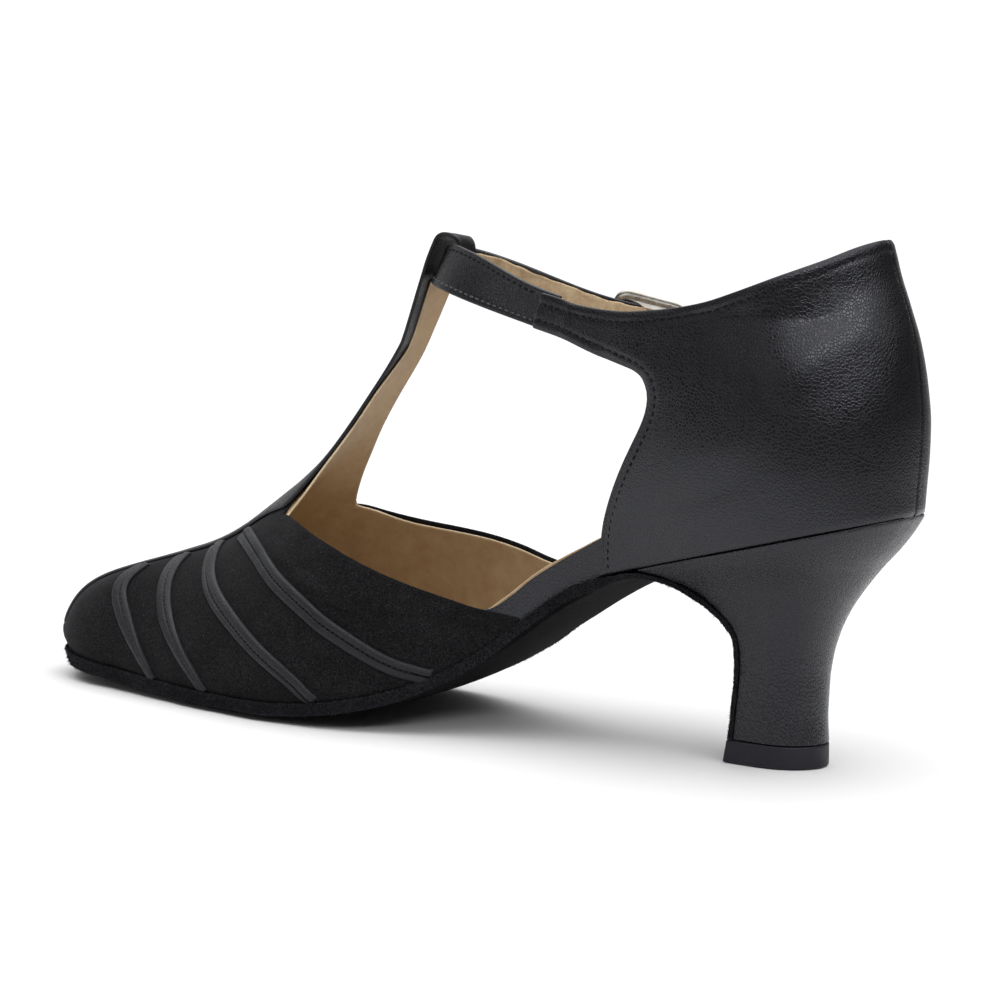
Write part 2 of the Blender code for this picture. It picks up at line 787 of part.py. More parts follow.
def outsole():
    wide_turn = TOE_END - TOE_POLE
    stations = [TOE_POLE + wide_turn * sin(radians(turn)) for turn in (86, 78, 68, 56, 42, 28, 14)]
    stations += [TOE_POLE, 200, 193, 186, 178, 170, 162, 154, 146, 138, 130, 123, 116, 109, 103]
    stations += [98, 93, 88, 83, 78, 73, 68, 64]
    high = []
    for s in stations:
        high.append(across_points(s, SOLE_MARGIN, GAP + 0.5 * (1.0 - smooth(62.0, 74.0, s))))
    for row in high[:7]:
        for point in row:
            point[0] += SOLE_MARGIN
    breast = [(row.front_s, row.front_z, row.half * 0.95) for row in HEEL]
    breast[0] = (60.9, 43.1, 21.0)
    breast[1] = (55.0, 42.7, 19.6)
    breast[2] = (50.8, 41.5, 18.4)
    breast[-1] = (39.05, TIP_HEIGHT + 1.3, 9.7)
    for i, (s, z, half) in enumerate(breast):
        before = breast[max(i - 1, 0)]
        after = breast[min(i + 1, len(breast) - 1)]
        along = np.array([after[0] - before[0], 0.0, after[1] - before[1]])
        along /= np.linalg.norm(along)
        away = np.array([-along[2], 0.0, along[0]])
        high.append([np.array([s, share * half, z]) + away * GAP * 1.2 for share in ACROSS])
    low = []
    middle_row = len(ACROSS) // 2
    for i, row in enumerate(high):
        before = high[max(i - 1, 0)][middle_row]
        after = high[min(i + 1, len(high) - 1)][middle_row]
        along = after - before
        along[1] = 0.0
        along /= np.linalg.norm(along)
        down = np.array([-along[2], 0.0, along[0]])
        thick = sole_thickness(row[middle_row][0]) if i < len(stations) else SOLE_FLAP
        under = []
        for point in row:
            moved = point + down * thick
            moved[2] = max(moved[2], 0.0)
            under.append(moved)
        low.append(under)
    points, faces = slab(high, low)
    return make_node("outsole", points, faces, SOLE_SUEDE)


def insole():
    inset = WALL + 0.45
    begin = back_station(60.0) + inset
    stations = [begin + HEEL_ROUND * (1.0 - cos(radians(turn))) for turn in (10, 24, 38, 52, 68, 90)]
    stations += [38, 48, 58, 67, 75, 82, 89, 96, 103, 110, 118, 127, 137, 148, 160, 172, 184, 193, 201]
    end = TOE_END - inset
    stations += [TOE_POLE + (end - TOE_POLE) * sin(radians(turn)) for turn in (0, 20, 38, 54, 68, 80)]
    low = []
    high = []
    for s in stations:
        row = []
        for share in ACROSS:
            side = 1 if share >= 0 else -1
            wide = width_of[side](s) - inset
            wide *= cap((s - begin) / (HEEL_ROUND - 2.0)) * cap((end - s) / (end - TOE_POLE))
            y = middle(s) + share * wide
            row.append(np.array([s, y, bottom(s, y)]))
        low.append(row)
        high.append([point + np.array([0.0, 0.0, INSOLE_THICK]) for point in row])
    points, faces = slab(high, low)
    return make_node("insole", points, faces, TAN)


HEEL_TURNS = [0, 14, 28, 42, 56, 70, 84, 100, 120, 145, 170, 180]


def heel_ring(row, seat):
    """Both sides of a heel section, from the back to the breast."""
    sides = []
    for side in (1, -1):
        line = []
        for turn in HEEL_TURNS:
            if turn <= 90:
                u = 0.52 * (1.0 - cos(radians(turn)))
            else:
                u = 0.52 + 0.48 * (turn - 90) / 90.0
            d_shape = cap(u / 0.52) * (1.0 - 0.06 * max(u - 0.6, 0.0) / 0.4)
            s_seat = HEEL[0].back_s + (HEEL[0].front_s - HEEL[0].back_s) * u
            seat_shape = half_width(side, s_seat) / HEEL[0].half
            if turn == 0:
                seat_shape = 0.06
                d_shape = 0.06
            shape = seat_shape + (d_shape - seat_shape) * row.round_share
            s = row.back_s + (row.front_s - row.back_s) * u
            z = row.back_z + (row.front_z - row.back_z) * u
            if seat:
                z = inner_edge(s) - GAP
            line.append(np.array([s, side * row.half * shape, z]))
        sides.append(line)
    return sides


def heel():
    rings = [heel_ring(HEEL[0], True)] + [heel_ring(row, False) for row in HEEL]
    points, faces = stack(rings)
    return make_node("heel", points, faces, LEATHER_BLACK)


def heel_tip():
    points, faces = stack([heel_ring(row, False) for row in TIP])
    return make_node("heel_tip", points, faces, RUBBER)


# Leather strips over the vamp

def strip_line(strip, t):
    """The rib and height share of a strip, a cubic through its four named points."""
    lines = [strip.top, strip.upper, strip.lower, strip.foot]
    shares = [strip.top_h, strip.upper_h, strip.lower_h, strip.foot_h]
    knots = [0.0, 0.33, 0.68, 1.0]
    weights = []
    for i, knot in enumerate(knots):
        w = 1.0
        for j, other in enumerate(knots):
            if i != j:
                w *= (t - other) / (knot - other)
        weights.append(w)
    line = sum(w * v for w, v in zip(weights, lines))
    h = sum(w * v for w, v in zip(weights, shares))
    return line, min(max(h, 0.03), 0.995)


def side_point(line, side, h):
    """A point of the upper at a rib and height share, in front of the waist."""
    if line >= THROAT:
        return rib_point(line, side, h)
    low = edge_height(line, side)
    return wall_point(side, line, low + (ridge(line) - low) * h)


def side_normal(line, side, h):
    a = side_point(line - 0.4, side, h) - side_point(line + 0.4, side, h)
    b = side_point(line, side, min(h + 0.01, 0.9999)) - side_point(line, side, h - 0.01)
    n = np.cross(a, b) * side
    return n / np.linalg.norm(n)


def vamp_strip(name, strip, side, count):
    high = []
    low = []
    for i in range(count + 1):
        t = i / count
        line, h = strip_line(strip, t)
        centre = side_point(line, side, h)
        line_on, h_on = strip_line(strip, t + 0.01)
        line_off, h_off = strip_line(strip, t - 0.01)
        ahead = side_point(line_on, side, h_on)
        back = side_point(line_off, side, h_off)
        along = (ahead - back) / np.linalg.norm(ahead - back)
        n = side_normal(line, side, h)
        cross = np.cross(n, along)
        cross /= np.linalg.norm(cross)
        for rows, lift in ((high, GAP + STRIP_THICK), (low, GAP)):
            rows.append([centre + cross * STRIP_WIDTH * k + n * lift for k in (-0.5, 0.0, 0.5)])
    points, faces = slab(high, low)
    return make_node(name, points, faces, LEATHER_BLACK)


def vamp_strips():
    for side, word in ((1, "inner"), (-1, "outer")):
        for i, strip in enumerate(STRIPS):
            vamp_strip("vamp_strip_%s_%d" % (word, i + 1), strip, side, 12 if i < 2 else 15)


# Ankle strap, its loop on the T-strap, and the buckle

def strap_station(y):
    return STRAP_APEX - STRAP_REACH * (abs(y) / STRAP_SPREAD) ** STRAP_POWER


def strap_y(s):
    return STRAP_SPREAD * (max(STRAP_APEX - s, 0.0) / STRAP_REACH) ** (1.0 / STRAP_POWER)


def strap_height(s, side):
    """Height of the strap's middle; the outer half drops towards the buckle."""
    drop = STRAP_DROP * smooth(128.0, 90.0, s) if side < 0 else 0.0
    return 97.9 + 0.193 * (s - 69.0) - drop


def strap_frame(y):
    """Centre, outward normal and width direction of the strap before it lifts."""
    s = strap_station(y)
    slope = STRAP_REACH * STRAP_POWER / STRAP_SPREAD * (abs(y) / STRAP_SPREAD) ** (STRAP_POWER - 1)
    n = np.array([1.0, slope if y >= 0 else -slope, 0.0])
    n /= np.linalg.norm(n)
    lean = STRAP_LEAN * smooth(92.0, STRAP_APEX, s)
    up = np.array([0.0, 0.0, cos(lean)]) - n * sin(lean)
    face = n * cos(lean) + np.array([0.0, 0.0, sin(lean)])
    centre = np.array([s, y, strap_height(s, 1 if y >= 0 else -1)])
    return centre, face, up


def strap_lift(s):
    """How far the strap end stands out of its line, through the buckle and over the wing."""
    z = strap_height(s, -1)
    over = wall(-1, s, z) + GAP + 0.5 * STRAP_THICK + 0.1 - strap_y(s)
    bar = 2.0 * smooth(66.0, BUCKLE_BACK, s)
    return (over + bar) * (1.0 - smooth(BUCKLE_BACK + 2.6, BUCKLE_FRONT - 1.2, s))


def ankle_strap():
    ys = [strap_y(s) for s in (STRAP_START, 88, 94, 100, 106, 112, 117)]
    ys += [9.5, 7.0, 4.9, 2.45, 0.0, -2.45, -4.9, -7.0, -9.5]
    ys += [-strap_y(s) for s in (117, 112, 106, 100, 94.5, 90.5, 88.3, 86, 84, 82, 80)]
    ys += [-strap_y(s) for s in (78, 76, 73.5, 70, 66, 61, 56, 51, 47.5, 45, STRAP_END)]
    high = []
    low = []
    for y in ys:
        centre, face, up = strap_frame(y)
        if y < 0:
            centre = centre + face * strap_lift(centre[0])
        half = 0.5 * STRAP_WIDTH
        if y < -10.0:
            half *= 0.25 + 0.75 * cap((centre[0] - STRAP_END + 1.0) / 6.0)
        across = [centre + up * half * k for k in (-1.0, 0.0, 1.0)]
        high.append([point + face * 0.5 * STRAP_THICK for point in across])
        low.append([point - face * 0.5 * STRAP_THICK for point in across])
    points, faces = slab(high, low)
    strap = make_node("ankle_strap", points, faces, LEATHER_BLACK)

    # Slot for the prong
    bar, tip = prong_ends()
    along = tip - bar
    points, faces = tube([bar + along * 0.05, bar + along * 0.95], PRONG_WIRE + 0.5, 8, False)
    cutter = make_node("prong_slot", points, faces, LEATHER_BLACK)
    cut = strap.modifiers.new("slot", "BOOLEAN")
    cut.operation = "DIFFERENCE"
    cut.solver = "EXACT"
    cut.object = cutter
    cutter.hide_render = True
    cutter.display_type = "WIRE"
    return strap


def buckle_place(s, out, up):
    """A point beside the strap line on the outer side."""
    centre, face, rise = strap_frame(-strap_y(s))
    return centre + face * out + rise * up


BUCKLE_OUT = 0.5 * STRAP_THICK + GAP + BUCKLE_WIRE + 0.1


def buckle_frame():
    half = 0.5 * BUCKLE_HEIGHT - BUCKLE_WIRE
    corner = 2.6
    path = []
    corners = (
        (BUCKLE_FRONT, 1, 0), (BUCKLE_BACK, 1, 90), (BUCKLE_BACK, -1, 180), (BUCKLE_FRONT, -1, 270)
    )
    for s_end, up_sign, start in corners:
        s_mid = s_end - corner if s_end == BUCKLE_FRONT else s_end + corner
        for turn in (0, 30, 60, 90):
            angle = radians(start + turn)
            s = s_mid + corner * cos(angle)
            path.append(buckle_place(s, BUCKLE_OUT, up_sign * (half - corner) + corner * sin(angle)))
    points, faces = tube(path, BUCKLE_WIRE, 8, True)
    return make_node("buckle_frame", points, faces, NICKEL)


def prong_ends():
    bar = buckle_place(BUCKLE_BACK + 2.4, BUCKLE_OUT - 0.9, 0.0)
    tip = buckle_place(BUCKLE_FRONT + 0.3, BUCKLE_OUT + BUCKLE_WIRE + PRONG_WIRE + GAP, 0.0)
    return bar, tip


def buckle_prong():
    """A wire hooked round the bar, through the strap, resting on the front of the frame."""
    ring = BUCKLE_WIRE + PRONG_WIRE + GAP
    bar, tip = prong_ends()
    path = []
    for turn in (170, 200, 230, 260, 290):
        angle = radians(turn)
        path.append(buckle_place(BUCKLE_BACK + ring * cos(angle), BUCKLE_OUT + ring * sin(angle), 0.0))
    path += [bar, bar + (tip - bar) * 0.5, tip]
    points, faces = tube(path, PRONG_WIRE, 8, False)
    return make_node("buckle_prong", points, faces, NICKEL)


def buckle_tab():
    """Leather sewn inside the outer wing and folded round the bar, slotted for the prong."""
    ring = BUCKLE_WIRE + GAP + 0.5 * TAB_THICK
    line = []
    for s in (59.0, 63.0, 67.0, 70.5):
        z = strap_height(s, -1)
        inside = wall(-1, s, z) - WALL - GAP - 0.5 * TAB_THICK - 0.1 - strap_y(s)
        line.append((s, inside))
    for turn in (270, 300, 330, 0, 30, 60, 90):
        angle = radians(turn)
        line.append((BUCKLE_BACK + ring * cos(angle), BUCKLE_OUT + ring * sin(angle)))
    line.append((BUCKLE_BACK - 1.5, BUCKLE_OUT + ring))
    sheet = Sheet()
    columns = [-0.5 * TAB_WIDTH, -1.2, 1.2, 0.5 * TAB_WIDTH]
    ids = []
    for i, (s, out) in enumerate(line):
        ids.append([
            sheet.vertex((i, k), buckle_place(s, out, up), TAB_THICK) for k, up in enumerate(columns)
        ])
    for i in range(len(line) - 1):
        for k in range(3):
            if k == 1 and i >= 3 and i < len(line) - 2:
                continue
            sheet.quad(1, ids[i][k], ids[i + 1][k], ids[i + 1][k + 1], ids[i][k + 1])
    normals = sheet.normals()
    for i in range(len(sheet.points)):
        sheet.points[i] = sheet.points[i] + normals[i] * 0.5 * TAB_THICK
    points, faces = sheet.solid()
    return make_node("buckle_tab", points, faces, LEATHER_BLACK)


def t_strap():
    """The leather centre strip, up the tongue, folded over the ankle strap."""
    across = [-1.0, -0.7, -0.35, 0.0, 0.35, 0.7, 1.0]
    high = []
    low = []

    # On the vamp and tongue
    stations = [228.7, 227.6, 225.4, 222.4, 218.6, 214.2, 210, 205.5, 200, 194, 189, 184, 179.5, 175]
    stations += [171, 167, 163, THROAT, 156.5, 153.5, 150, 146.5, 143, 139.5, 136.2, 133.2]
    for s in stations:
        upper_row = []
        lower_row = []
        for share in across:
            y = middle(s) + share * leather_half(s)
            point = vamp_point(s, y)
            a = vamp_point(s - 0.3, y) - vamp_point(s + 0.3, y)
            b = vamp_point(s, y + 0.3) - vamp_point(s, y - 0.3)
            n = np.cross(b, a)
            n /= np.linalg.norm(n)
            if n[2] < 0:
                n = -n
            upper_row.append(point + n * (GAP + T_STRAP_THICK))
            lower_row.append(point + n * GAP)
        high.append(upper_row)
        low.append(lower_row)

    # Loop round the ankle strap, following the strap's own line
    half_thick = 0.5 * T_STRAP_THICK
    ring = 0.5 * STRAP_THICK + 0.35 + half_thick
    turn_at = 0.5 * STRAP_WIDTH - 0.2
    wide = ring + 0.5
    loop = [(ring + 0.4, -6.2), (ring + 0.5, -4.2), (ring + 0.9, -1.0), (ring + 1.1, turn_at - 1.5)]
    for turn in (0, 30, 60, 90, 120, 150, 180):
        loop.append((0.5 + wide * cos(radians(turn)), turn_at + wide * sin(radians(turn))))
    loop += [(-ring, turn_at - 1.5), (-ring, -1.0), (-ring, -4.6)]
    loop += [(-ring + 0.5, -5.8), (-ring + 1.3, -6.8)]
    for i, (out, rise) in enumerate(loop):
        before = loop[max(i - 1, 0)]
        after = loop[min(i + 1, len(loop) - 1)]
        along = np.array([after[0] - before[0], after[1] - before[1]])
        along /= np.linalg.norm(along)
        n = (along[1], -along[0])
        upper_row = []
        lower_row = []
        for share in across:
            centre, face, up = strap_frame(share * 7.0)
            for row, sign in ((upper_row, 1.0), (lower_row, -1.0)):
                a = out + n[0] * half_thick * sign
                b = rise + n[1] * half_thick * sign
                row.append(centre + face * a + up * b)
        high.append(upper_row)
        low.append(lower_row)
    points, faces = slab(high, low)
    return make_node("t_strap", points, faces, LEATHER_BLACK)


clear_scene()
upper()
insole()
outsole()
heel()
heel_tip()
vamp_strips()
t_strap()
ankle_strap()
buckle_frame()
buckle_prong()
buckle_tab()
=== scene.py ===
# Right T-strap shoe: suede vamp, leather strips, quarter and heel, tan lining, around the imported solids.
# Lengths are millimetres, and stations run from the back of the heel, until a mesh is made.
from math import acos, cos, pi, radians, sin, sqrt

import bmesh
import bpy
import numpy as np
from mathutils import Matrix


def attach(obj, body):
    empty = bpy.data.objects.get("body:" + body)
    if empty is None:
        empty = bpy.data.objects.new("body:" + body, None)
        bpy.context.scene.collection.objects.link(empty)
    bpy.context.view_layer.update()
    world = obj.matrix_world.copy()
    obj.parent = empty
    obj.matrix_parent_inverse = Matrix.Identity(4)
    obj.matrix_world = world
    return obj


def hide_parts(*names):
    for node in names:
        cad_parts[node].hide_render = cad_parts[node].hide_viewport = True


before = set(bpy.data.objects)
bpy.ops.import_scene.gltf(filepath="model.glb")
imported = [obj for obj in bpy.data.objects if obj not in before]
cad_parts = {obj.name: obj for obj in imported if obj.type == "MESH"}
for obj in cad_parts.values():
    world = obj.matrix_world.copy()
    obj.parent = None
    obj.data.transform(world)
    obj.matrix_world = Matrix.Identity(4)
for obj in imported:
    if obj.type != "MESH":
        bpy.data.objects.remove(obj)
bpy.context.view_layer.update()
print("frame loaded:", len(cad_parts), "solids")

# Last: the foot form that every piece is cut from

last = {
    "length": 230.1, "toeEnd": 228.4, "toePole": 207.0, "heelRound": 27.0, "vampBulge": 1.4,
    "quarterBulge": 3.6, "collarLevel": 104.0, "throat": 159.4, "ridgeSlope": 0.34,
    "gap": 0.3, "capShare": 0.58, "tongueFlat": 0.65,
}
featherLine = {
    "station": [0, 13, 28, 43, 60, 70, 78, 86, 94, 102, 110, 118, 127, 138, 150, 168, 188, 207, 229],
    "inner": [24.5, 25.4, 25.6, 24, 20.3, 19, 18.2, 18.2, 18.9, 21.6, 25.6, 29.6, 33.1, 35.7, 36, 32.8,
              26.8, 20.8, 17.5],
    "outer": [24.5, 25.4, 25.6, 24.2, 21, 20, 19.6, 19.8, 20.8, 22.9, 25.9, 29, 32, 34.7, 36, 34.2, 28.4,
              21.4, 16.5],
    "height": [60.4, 57.2, 53.2, 49.1, 44.3, 41, 37, 31.7, 25.3, 19.4, 14.4, 10.8, 8, 5.9, 4.75, 4.5, 4.85,
               5.6, 7.2],
    "outerRise": [0, 0, 0, 0, 0, 0, 0.2, 0.8, 2, 2.9, 3, 2.5, 1.4, 0.4, 0, 0, 0, 0, 0],
    "camber": [0, 0, 0, 0, 0, 0.2, 0.4, 0.7, 0.9, 1, 1.1, 1.2, 1.3, 1.6, 1.9, 1.9, 1.6, 1.2, 1],
}
middleLine = {"station": [0, 140, 185, 229], "y": [0, 0, 0.6, 2]}
ridgeLine = {
    "station": [60, 100, 118, 124.8, 127.9, 131.8, 136.2, 141.1, 146.3, 152.3, 159, 165.2, 171, 176.4, 182.4,
                188.4, 194.4, 200.4, 207],
    "height": [125, 119, 111, 105, 100, 93.1, 85.3, 77.7, 69.9, 62.1, 55.6, 50.3, 45.6, 41.5, 37.8, 35, 32.9,
               30.9, 28.7],
    "fullness": [1.7] * 11 + [1.74, 1.8, 1.87, 1.95, 2.09, 2.35, 2.85, 3.8],
}
collarLine = {
    "station": [0, 14, 28, 44, 58, 70, 82, 90, 110],
    "width": [15.5, 19.6, 24, 25.8, 26.3, 25.6, 23.7, 22.2, 17],
}
backLine = {
    "height": [58, 66, 72, 79.5, 88.5, 98.5, 108.3, 115, 121.2],
    "station": [0.6, 0.4, 0.1, 0, 0.8, 2.6, 5.9, 8.9, 11.9],
}
topLine = {
    "station": [11.9, 13.7, 18.6, 25.9, 34.6, 44, 54, 64.2, 75.7, 81.6, 90],
    "inner": [121.2, 120.3, 117.3, 113.7, 109.8, 106.3, 104.2, 103.1, 103.7, 104.8, 106.2],
    "outer": [121.2, 120.3, 117.2, 113.3, 108.8, 104.4, 101.2, 99.2, 98.8, 99, 99.4],
}
sideLine = {
    "station": [68, 75.4, 80.6, 88.4, 93, 99.2, 106, 118, 128.7, 136.7, 145.7, 153.1, 159.4],
    "inner": [50.8, 46.6, 43.4, 38.2, 34.2, 30.4, 32.2, 36.0, 39.9, 42.7, 45.0, 46.6, 47.5],
    "outer": [50.8, 47, 44.5, 40.4, 37.8, 36.2, 36.8, 39.2, 40.8, 41.7, 42.9, 44.8, 47.5],
}
frontLine = {
    "height": [40, 52.2, 59.5, 66.8, 74.1, 79, 81.5, 84.2, 86.6, 88, 110],
    "station": [70.9, 69.2, 66.7, 63.4, 59.5, 57, 56.2, 55.8, 56.4, 57.4, 58.5],
}
wingLine = {
    "station": [57.4, 58.4, 60, 63, 67.5, 73, 80, 89],
    "inner": [88, 88.8, 89.6, 90.5, 91.8, 93.4, 95.5, 97.3],
    "outer": [86.3, 87, 87.6, 88.2, 88.9, 89.7, 91, 92.8],
}
tongueLine = {
    "station": [129.4, 135.4, 139.4, 143.4, 147.4, 151.4, 155.4, 159.4],
    "half": [5.9, 6.0, 6.2, 6.7, 7.8, 9.6, 12.0, 16],
}
leatherLine = {
    "station": [131, 139, 147, 151.4, 155.4, 159.4, 163, 168, 175, 182, 192, 205, 230],
    "half": [5.9, 6.1, 7.6, 9.3, 11.5, 14.2, 12.6, 9.8, 7, 5.4, 4.7, 4.3, 3.6],
}


def curveOf(table, column):  # smooth line through one column, over the table's first column
    x = np.array(table[list(table)[0]], float)
    y = np.array(table[column], float)
    step = np.diff(x)
    rise = np.diff(y) / step
    slope = np.concatenate([rise[:1], np.zeros(len(x) - 2), rise[-1:]])
    for i in range(1, len(x) - 1):
        if rise[i - 1] * rise[i] > 0:
            a = 2 * step[i] + step[i - 1]
            b = step[i] + 2 * step[i - 1]
            slope[i] = (a + b) / (a / rise[i - 1] + b / rise[i])

    def value(at):
        at = np.clip(at, x[0], x[-1])
        i = np.clip(np.searchsorted(x, at, side="right") - 1, 0, len(x) - 2)
        t = (at - x[i]) / step[i]
        ahead = y[i + 1] * t * t * (3 - 2 * t) + slope[i + 1] * step[i] * t * t * (t - 1)
        return y[i] * (1 + 2 * t) * (1 - t) ** 2 + slope[i] * step[i] * t * (1 - t) ** 2 + ahead

    return value


def bothSides(table):
    return {1: curveOf(table, "inner"), -1: curveOf(table, "outer")}


innerEdge = curveOf(featherLine, "height")
outerRise = curveOf(featherLine, "outerRise")
camber = curveOf(featherLine, "camber")
widthOf = bothSides(featherLine)
middle = curveOf(middleLine, "y")
ridge = curveOf(ridgeLine, "height")
fullness = curveOf(ridgeLine, "fullness")
collarWidth = curveOf(collarLine, "width")
backStation = curveOf(backLine, "station")
topOf = bothSides(topLine)
sideTop = bothSides(sideLine)
frontStation = curveOf(frontLine, "station")
wingLow = bothSides(wingLine)
tongueHalf = curveOf(tongueLine, "half")
leatherHalf = curveOf(leatherLine, "half")
toePole = last["toePole"]
toeFan = last["toeEnd"] - toePole
throat = last["throat"]


def cap(share):
    return np.sqrt(1 - (1 - np.clip(share, 0, 1)) ** 2)


def softStep(low, high, value):
    t = np.clip((value - low) / (high - low), 0, 1)
    return t * t * (3 - 2 * t)


def xyz(x, y, z):
    return np.stack(np.broadcast_arrays(x, y, z), axis=-1).astype(float)


def unit(v):
    return v / np.maximum(np.linalg.norm(v, axis=-1, keepdims=True), 1e-9)


def edgeHeight(s, side):
    return innerEdge(s) + (outerRise(s) if side < 0 else 0.0)


def halfWidth(side, s):
    heel = cap((s - backStation(innerEdge(s))) / last["heelRound"])
    return widthOf[side](s) * heel * cap((last["toeEnd"] - s) / toeFan)


def bottomAt(s, y):  # underside of the foot
    offset = y - middle(s)
    side = np.where(offset >= 0, 1.0, -1.0)
    wide = np.where(offset >= 0, halfWidth(1, s), halfWidth(-1, s))
    share = np.minimum(np.abs(offset) / np.maximum(wide, 0.1), 1)
    return innerEdge(s) + 0.5 * outerRise(s) * (1 - side * share) - camber(s) * (1 - share ** 2)


def swell(h):
    return last["vampBulge"] * 9.48 * h * (1 - h) ** 3


def ribEnds(line, side):  # ridge point, foot point and fullness of a rib; past the pole ribs fan out
    turn = np.clip((line - toePole) / toeFan, 0, 0.5 * pi)
    s = np.where(line <= toePole, line, toePole + toeFan * np.sin(turn))
    at = np.minimum(line, toePole)
    top = xyz(at, middle(at), ridge(at))
    foot = xyz(s, middle(s) + side * widthOf[side](s) * np.cos(turn), edgeHeight(s, side))
    return top, foot, fullness(np.minimum(s, toePole))


def ribPoint(line, side, h):
    line, h = np.broadcast_arrays(np.asarray(line, float), np.asarray(h, float))
    top, foot, n = ribEnds(line, side)
    flat = (foot - top)[..., :2]
    reach = np.linalg.norm(flat, axis=-1)
    out = flat / reach[..., None]
    fall = last["ridgeSlope"] * np.maximum(out[..., 0], 0)
    run = reach * np.maximum(1 - h ** n, 0) ** (1 / n)
    rise = top[..., 2] - fall * reach - foot[..., 2]
    push = run + swell(h)
    return xyz(top[..., 0] + out[..., 0] * push, top[..., 1] + out[..., 1] * push,
               top[..., 2] - fall * run - rise * (1 - h))


def shareAt(reach, n, run):  # height share where a rib is as wide as run
    low = np.full(np.shape(run), 0.28)
    high = np.ones(np.shape(run))
    for _ in range(40):
        h = 0.5 * (low + high)
        wider = reach * np.maximum(1 - h ** n, 0) ** (1 / n) + swell(h) > run
        low = np.where(wider, h, low)
        high = np.where(wider, high, h)
    return 0.5 * (low + high)


def ribReach(line, side):
    top, foot, n = ribEnds(line, side)
    return np.linalg.norm((foot - top)[..., :2], axis=-1), n


def vampPoint(s, y):  # vamp or tongue surface above a point in plan
    s, y = np.broadcast_arrays(np.asarray(s, float), np.asarray(y, float))
    picked = np.zeros(s.shape + (3,))
    ahead = s > toePole
    for side in (1, -1):
        away = side * (y - middle(s))
        dx = np.maximum(s - toePole, 0)
        turn = np.arctan2(dx / toeFan, np.abs(away) / widthOf[side](s))
        line = np.where(ahead, toePole + turn * toeFan, s)
        reach, n = ribReach(line, side)
        h = shareAt(reach, n, np.where(ahead, np.hypot(dx, away), np.abs(away)))
        mine = away >= 0
        picked[mine] = ribPoint(line, side, h)[mine]
    top = ridge(np.minimum(s, throat))
    flatter = 1 - last["tongueFlat"] * softStep(158, 141, s)  # the tongue flattens towards its loop
    picked[..., 2] = np.where(s < throat, top - (top - picked[..., 2]) * flatter, picked[..., 2])
    return picked


def wallAt(side, s, z):  # distance of the side wall from the middle line
    low = edgeHeight(s, side)
    wide = widthOf[side](s)
    level = (z - low) / (last["collarLevel"] - low)
    bulge = last["quarterBulge"] * 4 * level * np.maximum(1 - level, 0)
    quarterWide = wide + (collarWidth(s) - wide) * np.minimum(level, 1.15) + bulge
    quarterWide = quarterWide * cap((s - backStation(z)) / last["heelRound"])
    share = softStep(100, 134, s)
    h = np.clip((z - low) / (ridge(s) - low), 0, 1)
    n = fullness(s)
    vampWide = wide * np.maximum(1 - h ** n, 0) ** (1 / n) + swell(h)
    return (1 - share) * quarterWide + share * vampWide


def wallPoint(side, s, z):
    return xyz(s, middle(s) + side * wallAt(side, s, z), z)


def sidePoint(line, side, h):
    low = edgeHeight(line, side)
    behind = wallPoint(side, line, low + (ridge(line) - low) * h)
    return np.where((np.asarray(line) >= throat)[..., None], ribPoint(line, side, h), behind)


throatShare = float(shareAt(widthOf[1](throat), fullness(throat), tongueHalf(throat)))
throatTurn = acos(sqrt(1 - throatShare ** 1.7))


def quarterPoint(side, forward, t):  # forward: back seam 0 to front edge 1; t: lower edge 0 to collar 1
    forward, t = np.broadcast_arrays(np.asarray(forward, float), np.asarray(t, float))
    share = t + (np.interp(t, [0, 0.4375, 0.8125, 1], [0, 0.15, 0.738, 1]) - t) * forward
    z = np.full(share.shape, 80.0)
    around = last["heelRound"] * (1 - np.cos(0.5 * pi * np.minimum(forward / last["capShare"], 1)))
    along = np.clip((forward - last["capShare"]) / (1 - last["capShare"]), 0, 1)
    for _ in range(24):
        s = backStation(z) + around
        s = s + (frontStation(z) - s) * along
        low = edgeHeight(s, side)
        z = 0.5 * z + 0.5 * (low + share * (topOf[side](s) - low))
    return wallPoint(side, s, z)


# Mesh tools

def normalsOf(grid):
    return unit(np.cross(np.gradient(grid, axis=0), np.gradient(grid, axis=1)))


def outwardNormals(grid, centre):
    n = normalsOf(grid)
    return n if np.sum(n * (grid - np.asarray(centre, float))) > 0 else -n


def pressLines(grid, normals, lines):  # soft troughs (ridges, if depth is negative) along or beside a path
    shift = np.zeros(grid.shape[:-1])
    for path, depth, width, *beside in lines:
        path = np.asarray(path, float)
        fine = np.concatenate([np.linspace(a, b, 6) for a, b in zip(path, path[1:])])
        d = np.sqrt(np.min(np.sum((grid[..., None, :] - fine) ** 2, axis=-1), axis=-1))
        shift -= depth * np.exp(-((d - sum(beside)) / width) ** 2)
    return grid + normals * shift[..., None]


def withSkirt(patch, centre, drop, tuck):  # one more row below the first, tucked in
    inward = outwardNormals(patch, centre)[0] * tuck
    return np.concatenate([(patch[0] - inward - [0, 0, drop])[None], patch])


def gridFaces(rows, columns, start=0):
    i, j = np.meshgrid(np.arange(rows - 1), np.arange(columns - 1), indexing="ij")
    a = (start + i * columns + j).ravel()
    return np.stack([a, a + 1, a + columns + 1, a + columns], axis=1)


def finishPiece(name, mesh, look, replaced, modifiers, sharpAngle=None):
    mesh.materials.append(look)
    mesh.shade_smooth()
    if sharpAngle:
        mesh.set_sharp_from_angle(angle=radians(sharpAngle))
    piece = bpy.data.objects.new(name, mesh)
    bpy.context.scene.collection.objects.link(piece)
    for kind, settings in modifiers:
        added = piece.modifiers.new(kind.title(), kind)
        for key, value in settings.items():
            setattr(added, key, value)
    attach(piece, "root")
    if replaced:
        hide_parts(*replaced)
    return piece


